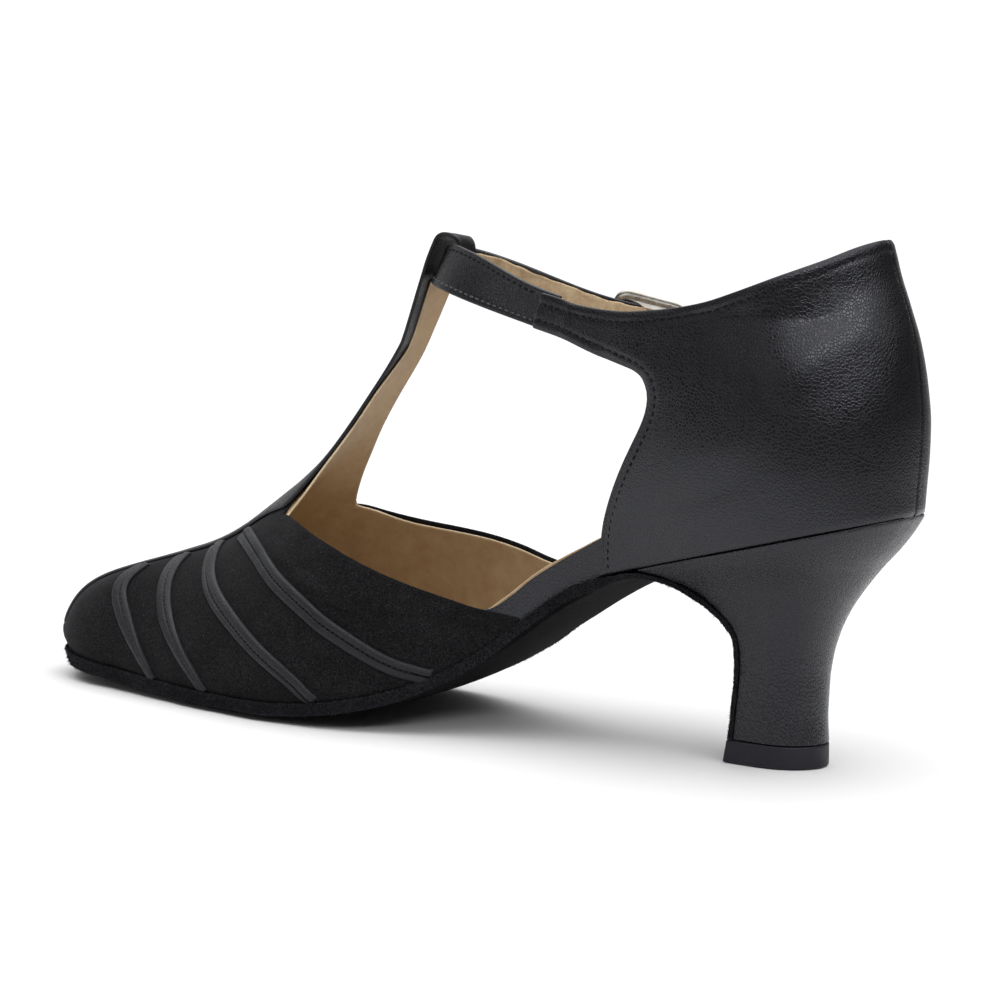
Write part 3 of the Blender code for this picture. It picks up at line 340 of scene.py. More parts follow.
def meshFrom(name, points, faces):
    placed = (np.asarray(points, float) - [0.5 * last["length"], 0, 0]) * 0.001
    mesh = bpy.data.meshes.new(name)
    mesh.from_pydata(placed.tolist(), [], [list(map(int, face)) for face in faces])
    return mesh


smoothed = ("SUBSURF", {"levels": 1, "render_levels": 1})


def bevel(width, segments=3, angle=40):
    return ("BEVEL", {"width": width * 0.001, "segments": segments, "limit_method": "ANGLE",
                      "angle_limit": radians(angle)})


def weldedSkin(name, patches, thick, look, replaced=(), edgeLook=None):
    points = np.concatenate([patch.reshape(-1, 3) for patch in patches])
    faces = []
    start = 0
    for patch in patches:
        faces.append(gridFaces(patch.shape[0], patch.shape[1], start))
        start += patch.shape[0] * patch.shape[1]
    mesh = meshFrom(name, points, np.concatenate(faces))
    bm = bmesh.new()
    bm.from_mesh(mesh)
    bmesh.ops.remove_doubles(bm, verts=bm.verts, dist=0.00004)
    bmesh.ops.dissolve_degenerate(bm, edges=bm.edges, dist=0.000001)
    bmesh.ops.recalc_face_normals(bm, faces=bm.faces)
    centre = sum((v.co for v in bm.verts), bm.verts[:][0].co * 0) / len(bm.verts)
    outward = sum(f.normal.dot(f.calc_center_median() - centre) * f.calc_area() for f in bm.faces)
    if outward < 0:
        bmesh.ops.reverse_faces(bm, faces=bm.faces)
    bm.to_mesh(mesh)
    bm.free()
    solidify = {"thickness": thick * 0.001, "offset": -1, "use_even_offset": True, "use_rim": True}
    if edgeLook:
        solidify["material_offset_rim"] = 1
    piece = finishPiece(name, mesh, look, replaced, [("SOLIDIFY", solidify), smoothed])
    if edgeLook:
        mesh.materials.append(edgeLook)
    return piece


def closedSlab(high, low):  # points and faces of a closed body between two matching grids
    rows, columns = high.shape[:2]
    count = rows * columns
    points = np.concatenate([high.reshape(-1, 3), low.reshape(-1, 3)])
    top = gridFaces(rows, columns)
    rim = [j for j in range(columns)]
    rim += [i * columns + columns - 1 for i in range(1, rows)]
    rim += [(rows - 1) * columns + j for j in range(columns - 2, -1, -1)]
    rim += [i * columns for i in range(rows - 2, 0, -1)]
    rim = np.array(rim)
    after = np.roll(rim, -1)
    sides = np.stack([after, rim, rim + count, after + count], axis=1)
    faces = np.concatenate([top, top[:, ::-1] + count, sides])
    a, b, c, d = (points[faces[:, k]] for k in range(4))
    volume = np.sum(np.cross(b - a, c - a) * a) + np.sum(np.cross(c - a, d - a) * a)
    return points, faces if volume > 0 else faces[:, ::-1]


def slabPiece(name, slabs, look, replaced=(), modifiers=(), sharpAngle=None):
    points = []
    faces = []
    start = 0
    for high, low in slabs:
        p, f = closedSlab(np.asarray(high, float), np.asarray(low, float))
        points.append(p)
        faces.append(f + start)
        start += len(p)
    mesh = meshFrom(name, np.concatenate(points), np.concatenate(faces))
    return finishPiece(name, mesh, look, replaced, list(modifiers), sharpAngle)


def resample(path, pitch, *others):  # points every pitch along a path, and what goes with them
    path = np.asarray(path, float)
    along = np.concatenate([[0], np.cumsum(np.linalg.norm(np.diff(path, axis=0), axis=1))])
    at = np.linspace(0, along[-1], max(int(round(along[-1] / pitch)), 1) + 1)
    out = []
    for values in (path,) + others:
        values = np.asarray(values, float)
        out.append(np.stack([np.interp(at, along, values[:, k]) for k in range(values.shape[1])], axis=1))
    return out


def edgeNoise(draw, count):  # rough cut edge, where neighbouring points move together
    return np.convolve(draw.normal(0, 1, count + 2), [0.5, 1, 0.5], "valid")


def tubeMesh(path, radius, count, closed):
    path = np.asarray(path, float)
    after = np.roll(path, -1, axis=0)
    before = np.roll(path, 1, axis=0)
    if not closed:
        after[-1] = path[-1]
        before[0] = path[0]
    along = unit(after - before)
    side = np.cross(along[0], [0, 0, 1.0])
    if np.linalg.norm(side) < 0.2:
        side = np.cross(along[0], [1.0, 0, 0])
    points = []
    for point, t in zip(path, along):
        side = unit(side - t * np.dot(side, t))
        turn = np.linspace(0, 2 * pi, count, endpoint=False)[:, None]
        points.append(point + radius * (np.cos(turn) * side + np.sin(turn) * np.cross(t, side)))
    total = len(path)
    faces = []
    for i in range(total if closed else total - 1):
        a = i * count
        b = (i + 1) % total * count
        faces += [(a + k, a + (k + 1) % count, b + (k + 1) % count, b + k) for k in range(count)]
    if not closed:
        faces.append(tuple(reversed(range(count))))
        faces.append(tuple(range((total - 1) * count, total * count)))
    return np.concatenate(points), faces


# Finishes

def setInputs(tree, node, inputs):  # a socket is linked, anything else is a fixed value
    for key, value in inputs.items():
        if isinstance(value, bpy.types.NodeSocket):
            tree.links.new(value, node.inputs[key])
        else:
            node.inputs[key].default_value = value


def nodeIn(tree, kind, settings=None, **inputs):
    node = tree.nodes.new(kind)
    for key, value in (settings or {}).items():
        setattr(node, key, value)
    setInputs(tree, node, inputs)
    return node


def newLook(name, fixed):
    look = bpy.data.materials.new(name)
    look.use_nodes = True
    tree = look.node_tree
    shader = tree.nodes["Principled BSDF"]
    setInputs(tree, shader, fixed)
    return look, tree, shader, nodeIn(tree, "ShaderNodeTexCoord").outputs["Object"]


def noiseIn(tree, where, scale, detail=4.0, roughness=0.55):
    return nodeIn(tree, "ShaderNodeTexNoise", None, Vector=where, Scale=scale, Detail=detail,
                  Roughness=roughness).outputs["Fac"]


def stretched(tree, where, scale):
    return nodeIn(tree, "ShaderNodeMapping", None, Vector=where, Scale=scale).outputs["Vector"]


def rampIn(tree, source, stops):
    node = nodeIn(tree, "ShaderNodeValToRGB", None, Fac=source)
    for element, (at, colour) in zip(node.color_ramp.elements, stops):
        element.position = at
        element.color = (*colour, 1)
    return node.outputs["Color"]


def twoTone(tree, source, finish, low=0.3, high=0.7):
    return rampIn(tree, source, [(low, finish["dark"]), (high, finish["light"])])


def rangeIn(tree, source, low, high, fromLow=0.3, fromHigh=0.7):
    node = nodeIn(tree, "ShaderNodeMapRange")
    setInputs(tree, node, dict(enumerate((source, fromLow, fromHigh, low, high))))
    return node.outputs[0]


def bumpIn(tree, source, distance, strength, under=None):
    node = nodeIn(tree, "ShaderNodeBump", None, Height=source, Strength=strength, Distance=distance * 0.001)
    if under:
        setInputs(tree, node, {"Normal": under})
    return node.outputs["Normal"]


def mixedIn(tree, how, first, second):  # two colours multiplied or added
    node = nodeIn(tree, "ShaderNodeMix", {"data_type": "RGBA", "blend_type": how})
    setInputs(tree, node, {0: 1.0, 6: first, 7: second})
    return node.outputs[2]


def sumIn(tree, first, second):
    node = nodeIn(tree, "ShaderNodeMath", {"operation": "ADD"})
    setInputs(tree, node, {0: first, 1: second})
    return node.outputs[0]


suedeFinish = {
    "dark": (0.0022, 0.0022, 0.0026), "light": (0.0165, 0.0165, 0.0178), "fibre": (0.06, 0.06, 0.064),
    "cloudScale": 110, "cloudLow": 0.62, "cloudHigh": 1.2, "napScale": 2300, "fibreScale": 3400,
    "napDepth": 0.15, "sheen": 0.0, "sheenTint": (0.8, 0.8, 0.86, 1),
}


def makeSuede(name, finish):
    look, tree, shader, spot = newLook(name, {
        "Roughness": 0.95, "Specular IOR Level": 0.1, "Sheen Weight": finish["sheen"], "Sheen Roughness": 0.4,
        "Sheen Tint": finish["sheenTint"]})
    nap = noiseIn(tree, spot, finish["napScale"], 4, 0.7)
    clouds = noiseIn(tree, spot, finish["cloudScale"], 6, 0.65)
    fibres = noiseIn(tree, spot, finish["fibreScale"], 2)
    patchy = rampIn(tree, clouds, [(0.3, (finish["cloudLow"],) * 3), (0.7, (finish["cloudHigh"],) * 3)])
    colour = mixedIn(tree, "MULTIPLY", twoTone(tree, nap, finish, 0.36, 0.64), patchy)
    colour = mixedIn(tree, "ADD", colour, rampIn(tree, fibres, [(0.66, (0, 0, 0)), (0.74, finish["fibre"])]))
    if "underside" in finish:  # painted shade: darker where it faces the floor
        facing = nodeIn(tree, "ShaderNodeNewGeometry").outputs["Normal"]
        upward = nodeIn(tree, "ShaderNodeSeparateXYZ", None, Vector=facing).outputs["Z"]
        shade = rangeIn(tree, upward, 0, 1, -0.85, -0.25)
        # painted shade: the colour is scaled down by finish["underside"] on faces turned to the floor
        paintedUnderShade = rampIn(tree, shade, [(0.0, (finish["underside"],) * 3), (1.0, (1, 1, 1))])
        colour = mixedIn(tree, "MULTIPLY", colour, paintedUnderShade)
    setInputs(tree, shader, {"Base Color": colour, "Normal": bumpIn(tree, nap, finish["napDepth"], 0.8)})
    return look


leatherFinish = {
    "dark": (0.0024, 0.0024, 0.0031), "light": (0.0050, 0.0050, 0.0061), "cloudScale": 95, "grainScale": 1450,
    "grainDepth": 0.055, "stretch": (1.0, 1.0, 0.82), "wander": 0.0004, "wanderScale": 420, "poreScale": 2600,
    "poreDepth": 0.010, "roughScale": 160, "roughLow": 0.22, "roughHigh": 0.28, "grooveRough": 0.16,
    "shine": 0.5, "tint": (0.90, 0.91, 1.0, 1),
}


def makeLeather(name, finish):
    look, tree, shader, spot = newLook(name, {"Specular IOR Level": finish["shine"],
                                              "Specular Tint": finish["tint"]})
    place = stretched(tree, spot, finish["stretch"])
    wander = nodeIn(tree, "ShaderNodeTexNoise", None, Vector=place, Scale=finish["wanderScale"], Detail=2)
    bent = nodeIn(tree, "ShaderNodeVectorMath", {"operation": "MULTIPLY_ADD"})
    setInputs(tree, bent, {0: wander.outputs["Color"], 1: (finish["wander"],) * 3, 2: place})
    cells = nodeIn(tree, "ShaderNodeTexVoronoi", {"feature": "DISTANCE_TO_EDGE"}, Vector=bent.outputs[0],
                   Scale=finish["grainScale"], Randomness=1.0).outputs["Distance"]
    pores = bumpIn(tree, noiseIn(tree, place, finish["poreScale"], 4), finish["poreDepth"], 0.6)
    pebbles = bumpIn(tree, rangeIn(tree, cells, 0, 1, 0.0, 0.2), finish["grainDepth"], 0.55, pores)
    grooves = rangeIn(tree, cells, finish["grooveRough"], 0, 0.02, 0.14)  # dull between the pebbles
    rough = rangeIn(tree, noiseIn(tree, spot, finish["roughScale"], 5), finish["roughLow"], finish["roughHigh"])
    setInputs(tree, shader, {
        "Base Color": twoTone(tree, noiseIn(tree, spot, finish["cloudScale"], 4), finish), "Normal": pebbles,
        "Roughness": sumIn(tree, grooves, rough)})
    return look


liningFinish = {
    "dark": (0.375, 0.250, 0.138), "light": (0.485, 0.360, 0.215), "mottleScale": 170, "poreScale": 1500,
    "poreDepth": 0.14, "creaseScale": 260, "creaseDepth": 0.25, "roughLow": 0.5, "roughHigh": 0.68,
    "shine": 0.35,
}


def makeLining(name, finish):
    look, tree, shader, spot = newLook(name, {"Specular IOR Level": finish["shine"]})
    mottle = noiseIn(tree, spot, finish["mottleScale"], 7, 0.76)
    pores = noiseIn(tree, spot, finish["poreScale"], 5, 0.65)
    creases = noiseIn(tree, stretched(tree, spot, (1, 1, 0.35)), finish["creaseScale"], 3)
    creased = bumpIn(tree, creases, finish["creaseDepth"], 0.35)
    setInputs(tree, shader, {
        "Base Color": twoTone(tree, mottle, finish),
        "Normal": bumpIn(tree, pores, finish["poreDepth"], 0.5, creased),
        "Roughness": rangeIn(tree, mottle, finish["roughLow"], finish["roughHigh"])})
    return look


rubberFinish = {
    "dark": (0.0040, 0.0038, 0.0058), "light": (0.0070, 0.0067, 0.0094), "cloudScale": 130, "grainScale": 1400,
    "grainDepth": 0.08, "roughScale": 300, "roughLow": 0.45, "roughHigh": 0.62, "tint": (0.88, 0.88, 1.0, 1),
}


def makeRubber(name, finish):
    look, tree, shader, spot = newLook(name, {"Specular IOR Level": 0.45, "Specular Tint": finish["tint"]})
    rough = noiseIn(tree, spot, finish["roughScale"], 4)
    setInputs(tree, shader, {
        "Base Color": twoTone(tree, noiseIn(tree, spot, finish["cloudScale"], 6), finish),
        "Normal": bumpIn(tree, noiseIn(tree, spot, finish["grainScale"], 4), finish["grainDepth"], 0.5),
        "Roughness": rangeIn(tree, rough, finish["roughLow"], finish["roughHigh"])})
    return look


nickelFinish = {
    "dark": (0.40, 0.37, 0.33), "light": (0.62, 0.59, 0.54), "cloudScale": 220, "brushScale": 700,
    "brushDepth": 0.02, "roughLow": 0.12, "roughHigh": 0.26,
}


def makeNickel(name, finish):
    look, tree, shader, spot = newLook(name, {"Metallic": 1.0})
    brushed = noiseIn(tree, stretched(tree, spot, (1, 1, 6)), finish["brushScale"], 5)
    setInputs(tree, shader, {
        "Base Color": twoTone(tree, noiseIn(tree, spot, finish["cloudScale"], 4), finish),
        "Normal": bumpIn(tree, brushed, finish["brushDepth"], 0.4),
        "Roughness": rangeIn(tree, brushed, finish["roughLow"], finish["roughHigh"])})
    return look


threadFinish = {
    "dark": (0.0015, 0.0015, 0.0018), "light": (0.0060, 0.0060, 0.0066), "twistScale": 3200, "twistDepth": 0.05,
    "shine": 0.12, "roughLow": 0.45, "roughHigh": 0.7,
}


def makeThread(name, finish):
    look, tree, shader, spot = newLook(name, {"Specular IOR Level": finish["shine"]})
    twist = noiseIn(tree, spot, finish["twistScale"], 2)
    setInputs(tree, shader, {
        "Base Color": twoTone(tree, twist, finish, 0.35, 0.65),
        "Normal": bumpIn(tree, twist, finish["twistDepth"], 0.6),
        "Roughness": rangeIn(tree, twist, finish["roughLow"], finish["roughHigh"])})
    return look


suedeLook = makeSuede("vampSuede", dict(suedeFinish, sheen=0.04))
napLook = makeSuede("soleNap", dict(suedeFinish, dark=(0.018, 0.017, 0.021), light=(0.055, 0.053, 0.061)))
# the sole's underside gets painted shade: its colour is darkened where faces turn to the floor
soleLook = makeSuede("soleSuede", dict(
    suedeFinish, dark=(0.0035, 0.0033, 0.0043), light=(0.0150, 0.0142, 0.0178), fibre=(0.075, 0.072, 0.082),
    napScale=1500, napDepth=0.6, underside=0.22))
leatherLook = makeLeather("blackLeather", leatherFinish)
heelLook = makeLeather("heelLeather", dict(leatherFinish, grainDepth=0.10, stretch=(1.0, 1.0, 0.7)))
tStrapLook = makeLeather("tStrapLeather", dict(leatherFinish, roughLow=0.32, roughHigh=0.46, shine=0.46))
stripLook = makeLeather("stripLeather", dict(
    leatherFinish, dark=(0.0036, 0.0036, 0.0042), light=(0.0085, 0.0085, 0.0092), grainScale=1200,
    grainDepth=0.10, poreDepth=0.06, roughLow=0.36, roughHigh=0.54, shine=0.38))
liningLook = makeLining("tanLining", liningFinish)
fleshLook = makeLining("strapFleshSide", dict(
    liningFinish, dark=(0.31, 0.205, 0.112), light=(0.60, 0.46, 0.29), mottleScale=240, creaseDepth=1.1,
    poreDepth=0.4))
liningEdgeLook = makeLining("liningCutEdge", dict(
    liningFinish, dark=liningFinish["light"], light=(0.72, 0.60, 0.44)))
rubberLook = makeRubber("tipRubber", rubberFinish)
nickelLook = makeNickel("warmNickel", nickelFinish)
threadLook = makeThread("mattThread", threadFinish)
stripThread = makeThread("stripThread", dict(
    threadFinish, dark=(0.0030, 0.0030, 0.0034), light=(0.0110, 0.0110, 0.0118), shine=0.35, roughLow=0.35,
    roughHigh=0.55))
waxedLook = makeThread("waxedThread", dict(threadFinish, shine=0.9, roughLow=0.16, roughHigh=0.34))
print("finishes ready")

# Course of the straps

strapCut = {
    "width": 9.2, "thick": 1.8, "faceThick": 1.05, "apex": 125.0, "reach": 57.0, "spread": 23.2, "power": 2.6,
    "start": 82.0, "end": 44.0, "tipLength": 6, "lean": radians(22), "level": 97.9, "levelAt": 69,
    "climb": 0.193, "drop": 4.6, "instepExtra": 2.2, "puff": 0.10, "liningShare": 0.86, "fleshDepth": 0.4,
    "ragged": 0.17, "seed": 11, "stitchInset": 1.45, "stitchSink": 0.06, "stitchFrom": 88.8,
}
tStrapCut = {
    "thick": 0.9, "crown": 0.22, "toeAside": 4.4, "toeHalf": 4.1, "toeSlim": 0.3, "edgeSlim": 0.5, "tuck": 0.25,
    "loopClear": 0.35, "loopOver": 0.9, "loopAhead": 0.9, "loopFlat": 0.45, "loopTilt": 0.1, "loopHalf": 6.2,
}
buckleCut = {
    "front": 89.5, "back": 73.5, "height": 13.2, "wire": 1.1, "prong": 0.6, "corner": 2.6, "tabThick": 0.8,
    "tabWidth": 8.0, "flat": 1.8, "deep": 0.72, "wireSides": 16, "prongSides": 14, "wall": 1.5,
}
buckleCut["out"] = 0.5 * strapCut["thick"] + last["gap"] + buckleCut["wire"] + 0.1


def strapY(s):
    share = np.maximum(strapCut["apex"] - s, 0) / strapCut["reach"]
    return strapCut["spread"] * share ** (1 / strapCut["power"])


def strapHeight(s, side):
    drop = np.where(np.asarray(side) < 0, strapCut["drop"] * softStep(128, 90, s), 0)
    return strapCut["level"] + strapCut["climb"] * (s - strapCut["levelAt"]) - drop


def strapFrame(y):
    y = np.asarray(y, float)
    share = np.abs(y) / strapCut["spread"]
    s = strapCut["apex"] - strapCut["reach"] * share ** strapCut["power"]
    slope = strapCut["reach"] * strapCut["power"] / strapCut["spread"] * share ** (strapCut["power"] - 1)
    n = unit(xyz(1.0, slope * np.where(y >= 0, 1, -1), 0.0))
    lean = (strapCut["lean"] * softStep(92, strapCut["apex"], s))[..., None]
    up = np.array([0, 0, 1.0]) * np.cos(lean) - n * np.sin(lean)
    face = n * np.cos(lean) + np.array([0, 0, 1.0]) * np.sin(lean)
    return xyz(s, y, strapHeight(s, y)), face, up


def strapLift(s):
    over = wallAt(-1, s, strapHeight(s, -1)) + last["gap"] + 0.5 * strapCut["thick"] + 0.1 - strapY(s)
    bar = 2.0 * softStep(66, buckleCut["back"], s)
    return (over + bar) * (1 - softStep(buckleCut["back"] + 2.6, buckleCut["front"] - 1.2, s))


halfThick = 0.5 * tStrapCut["thick"]
loopRing = 0.5 * strapCut["thick"] + tStrapCut["loopClear"] + halfThick


def loopCourse():  # middle of the loop: out from the strap's face, and up its width
    turnAt = 0.5 * strapCut["width"] + tStrapCut["loopOver"]
    ahead = tStrapCut["loopAhead"]
    course = [(loopRing + 0.4 + ahead * share, rise) for share, rise in (
        (0, -6.2), (0.16, -4.6), (0.42, -2.8), (0.68, -1), (0.88, 0.8), (1, turnAt - 1.5))]
    wide = loopRing + 0.5 * ahead + 0.2
    turns = np.radians(np.arange(0, 181, 15))
    course += [(wide - loopRing + wide * cos(a), turnAt + wide * sin(a)) for a in turns]
    return np.array(course + [(-loopRing, rise) for rise in (turnAt - 1.5, 0.8, -1, -2.4, -3.6)])


def loopRows(course, ys, lift):
    along = unit(np.concatenate([course[1:], course[-1:]]) - np.concatenate([course[:1], course[:-1]]))
    spot = course + np.stack([along[:, 1], -along[:, 0]], axis=1) * lift
    front = softStep(-1.0, 1.5, spot[:, :1])
    middlePoint, outward, upward = strapFrame(ys * (1 - tStrapCut["loopFlat"] * front))
    middlePoint[..., 1] = ys
    tilt = softStep(-5, 3, spot[:, 1:]) * tStrapCut["loopTilt"] * np.minimum(ys - 7, 0)
    middlePoint = middlePoint + xyz(0.0, 0.0, tilt)
    return middlePoint + outward * spot[:, :1, None] + upward * spot[:, 1:, None]


def loopLining(side):
    share = np.linspace(1, 0, upperCut["topRows"] + 1)
    rows = []
    for half, rise in ((2.7, -6.6), (2.6, -5.7), (2.5, -4.7)):
        half += 0 if side > 0 else 3.2
        spot = np.array([(loopRing + 0.4 - halfThick - 0.12, rise)])
        rows.append(loopRows(spot, side * half * share, 0)[0])
    return np.stack(rows, axis=1)


# Upper: suede vamp, waist band, quarter and linings

upperCut = {
    "suedeThick": 0.75, "vampSkirt": (0.8, 0.3), "liningLift": -0.8, "liningThick": 0.7, "tongueLift": -0.1,
    "notch": 99.2, "tail": 91.2, "sideRows": 40, "topRows": 14, "bandFront": 103.0, "bandBack": 65.0,
    "bandThick": 0.7, "bandBelow": 0.8, "bandSunk": 0.25, "bandFrontSunk": 0.35, "bandBackSunk": 0.45,
    "wingColumns": 24, "wingEnd": {1: 88.6, -1: 70.5}, "wingSlant": 2.0, "leatherThick": 0.8,
    "leatherLift": 0.12, "quarterSkirt": (0.75, 0.6), "quarterLiningLift": -0.72, "quarterLiningTrim": 0.6,
}
wingRow = 0.8125
lowRows = np.linspace(0, wingRow, 24)
highRows = np.array([0.818, 0.8255, 0.8345, 0.8455, 0.859, 0.875, 0.8925, 0.91, 0.926, 0.941, 0.954, 0.967,
                     0.978, 0.987, 0.9945, 1])
quarterColumns = np.concatenate([[0, 0.005, 0.011, 0.019, 0.03, 0.045], np.linspace(0.065, 0.93, 36),
                                 [0.95, 0.966, 0.979, 0.989, 0.9955, 1]])


def rowShare(t, topTurn=0.5 * pi):  # height share: lower rows up to the throat split, upper rows to topTurn
    turn = np.where(t <= 1, throatTurn * t, throatTurn + (topTurn - throatTurn) * (t - 1))
    return np.sin(turn) ** (2 / 1.7)


def sidePatch(side, stations, topAt, below=0.0):
    t = np.linspace(0, 1, upperCut["sideRows"] + 1)[:, None]
    s = np.asarray(stations, float)[None, :]
    low = edgeHeight(s, side) - below
    share = t + (rowShare(t) / rowShare(np.array(1.0)) - t) * softStep(110, throat, s)
    points = wallPoint(side, s, low + (topAt(s) - low) * share)
    front = ribPoint(throat, side, rowShare(t[:, 0]))
    points[:, np.isclose(s[0], throat)] = front[:, None, :]
    return points


def frontPatch(side, lines, topShare):
    t = np.concatenate([np.linspace(0, 1, upperCut["sideRows"] + 1),
                        np.linspace(1, 2, upperCut["topRows"] + 1)[1:]])[:, None]
    lines = np.asarray(lines, float)[None, :]
    return ribPoint(lines, side, rowShare(t, np.arcsin(np.clip(topShare, 0, 1) ** 0.85)[None, :]))


def tonguePatch(side, throatColumn, stations):
    share = np.linspace(1, 0, upperCut["topRows"] + 1)[:, None]
    s = np.asarray(stations, float)[None, :]
    half = tongueHalf(s) - (5.0 if side > 0 else 0.3) * softStep(142, 130, s) - 0.5 * softStep(152, 146, s)
    points = vampPoint(s + 0 * share, middle(s) + side * half * share)
    return np.concatenate([throatColumn[:, None, :], points], axis=1)


fanLines = toePole + toeFan * np.radians(np.linspace(0, 90, 19))
frontLines = np.concatenate([np.arange(throat, toePole, 2.4), fanLines])
sideStations = np.concatenate([np.linspace(upperCut["tail"], upperCut["notch"], 6),
                               np.linspace(upperCut["notch"], throat, 28)[1:]])
vampCentre = (160, 0, 20)
vampFolds = [  # soft folds: side, station and drop below the topline, depth, width
    (1, ((159, 4.6), (150, 7.0), (140, 8.6), (130, 9.6), (122, 10)), 0.75, 0.75),
    (1, ((156, 7.2), (147, 9.3), (137, 10.9), (128, 11.8)), -0.5, 1.0),
    (1, ((154, 9.6), (145, 11.4), (136, 12.9), (127, 13.6)), 0.7, 0.8),
    (1, ((146, 14), (138, 15.3), (130, 16.2)), 0.5, 1.0),
    (1, ((171, 20), (163, 26), (158, 33)), 0.20, 3.0),
    (1, ((157, 1.5), (149, 1.4), (138, 1.4), (127, 1.4), (116, 1.4), (102, 1.4)), 0.35, 0.5),
    (-1, ((157, 5.2), (148, 5.8), (138, 6.8), (127, 8.4)), 0.65, 0.8),
    (-1, ((153, 7.6), (143, 8.6), (132, 10.2)), -0.45, 1.1),
    (-1, ((172, 20), (164, 26), (158, 33)), 0.20, 3.0),
    (-1, ((157, 1.5), (149, 1.4), (138, 1.4), (127, 1.4), (116, 1.4), (102, 1.4)), 0.35, 0.5),
]


def foldSpot(side, s, drop):
    low = edgeHeight(s, side)
    share = (sideTop[side](s) - drop - low) / (ridge(s) - low)
    return sidePoint(np.array(float(s)), side, np.clip(share, 0.02, 0.9))


vampFolds = [([foldSpot(side, *spot) for spot in spots], depth, width)
             for side, spots, depth, width in vampFolds]


def suedeTop(side):  # past the notch the suede's edge runs on over the waist band
    def top(s):
        runOn = sideTop[side](upperCut["notch"]) - 0.19 * (upperCut["notch"] - s)
        return np.where(s < upperCut["notch"], runOn, sideTop[side](s))
    return top


def liningTop(side):  # below the suede's edge, and proud of the inner waist band
    def top(s):
        trim = 0.95 * (1 - softStep(149, 158, s))
        behind = 1 - softStep(96, 100, s)
        return sideTop[side](s) - trim + (1.2 * behind + 0.5 * softStep(72, 86, s) * behind if side > 0 else 0)
    return top


def lifted(patch, centre, lift, folds=()):
    normals = outwardNormals(patch, centre)
    return pressLines(patch, normals, folds) + normals * lift


vampPatches = []
for side in (1, -1):
    reach, n = ribReach(frontLines, side)
    under = np.where(frontLines <= toePole, 0.7 * leatherHalf(frontLines), 3.0)
    vampPatches.append(sidePatch(side, sideStations, suedeTop(side)))
    vampPatches.append(frontPatch(side, frontLines, shareAt(reach, n, under)))
vampPatches = [pressLines(patch, outwardNormals(patch, vampCentre), vampFolds) for patch in vampPatches]
vampPatches = [withSkirt(patch, vampCentre, *upperCut["vampSkirt"]) for patch in vampPatches]
weldedSkin("vamp", vampPatches, upperCut["suedeThick"], suedeLook, ["upper"])

bandSlabs = []
bandStations = np.linspace(upperCut["bandBack"], upperCut["bandFront"], 34)
for side in (1, -1):
    def bandTop(s):
        over = np.maximum(s - upperCut["notch"], 0)
        return sideTop[side](np.minimum(s, upperCut["notch"])) - 0.3 * over
    patch = sidePatch(side, bandStations, bandTop, upperCut["bandBelow"])
    normals = outwardNormals(patch, (84, 0, 35))
    sunk = -upperCut["bandSunk"] - upperCut["bandFrontSunk"] * softStep(95, 103, patch[..., 0])
    sunk = sunk - upperCut["bandBackSunk"] * softStep(71, 68, patch[..., 0])
    under = sunk - upperCut["bandThick"]
    bandSlabs.append((patch + normals * sunk[..., None], patch + normals * under[..., None]))
slabPiece("waistBand", bandSlabs, heelLook, modifiers=[smoothed])

liningPatches = []
for side in (1, -1):
    front = frontPatch(side, frontLines, np.ones(len(frontLines)))
    stations = np.concatenate([np.linspace(upperCut["bandBack"], upperCut["notch"], 16),
                               np.linspace(upperCut["notch"], throat, 24)[1:]])
    liningPatches.append(sidePatch(side, stations, liningTop(side)))
    liningPatches.append(front)
    tongueStations = np.linspace(throat - 1.4, 134, 22)
    liningPatches.append(tonguePatch(side, front[upperCut["sideRows"]:, 0], tongueStations))
raised = upperCut["tongueLift"] - upperCut["liningLift"]
for k, patch in enumerate(liningPatches):
    lift = upperCut["liningLift"] + (raised * (1 - softStep(152, 159, patch[..., :1])) if k % 3 == 2 else 0)
    liningPatches[k] = lifted(patch, vampCentre, lift)
    if k % 3 == 2:  # on up the inside of the loop
        liningPatches[k] = np.concatenate([liningPatches[k], loopLining(1 if k < 3 else -1)], axis=1)
weldedSkin("vampLining", liningPatches, upperCut["liningThick"], liningLook, edgeLook=liningEdgeLook)
print("vamp, band and lining made")


def quarterPatches(trim):  # trim: how far the lining stays inside the leather's edges
    foot = wingRow + 0.025 * trim
    rise = (highRows - wingRow) / (1 - wingRow)
    rows = np.concatenate([lowRows * foot / wingRow, foot + rise * (1 - trim / 60 - foot)])[:, None]
    columns = quarterColumns[None, :] * (1 - trim / 55)
    split = len(lowRows) - 1
    patches = []
    for side in (1, -1):
        main = quarterPoint(side, columns, rows)
        main[:, 0, 1] = 0
        edge = main[split:, -1]
        w = np.linspace(0, 1, upperCut["wingColumns"] + 1)[None, :]
        t = np.linspace(0, 1, len(edge))[:, None]
        end = upperCut["wingEnd"][side] - upperCut["wingSlant"] * t - 6 * trim
        s = end + (edge[:, :1] - end) * w
        z = wingLow[side](s) + (topOf[side](s) - wingLow[side](s)) * (trim / 9 + t * (1 - trim / 4.5))
        wing = wallPoint(side, s, z + (edge[:, 2:] - z[:, -1:]) * softStep(0.6, 1, w))
        wing[:, -1] = edge
        patches += [main, wing]
    return patches


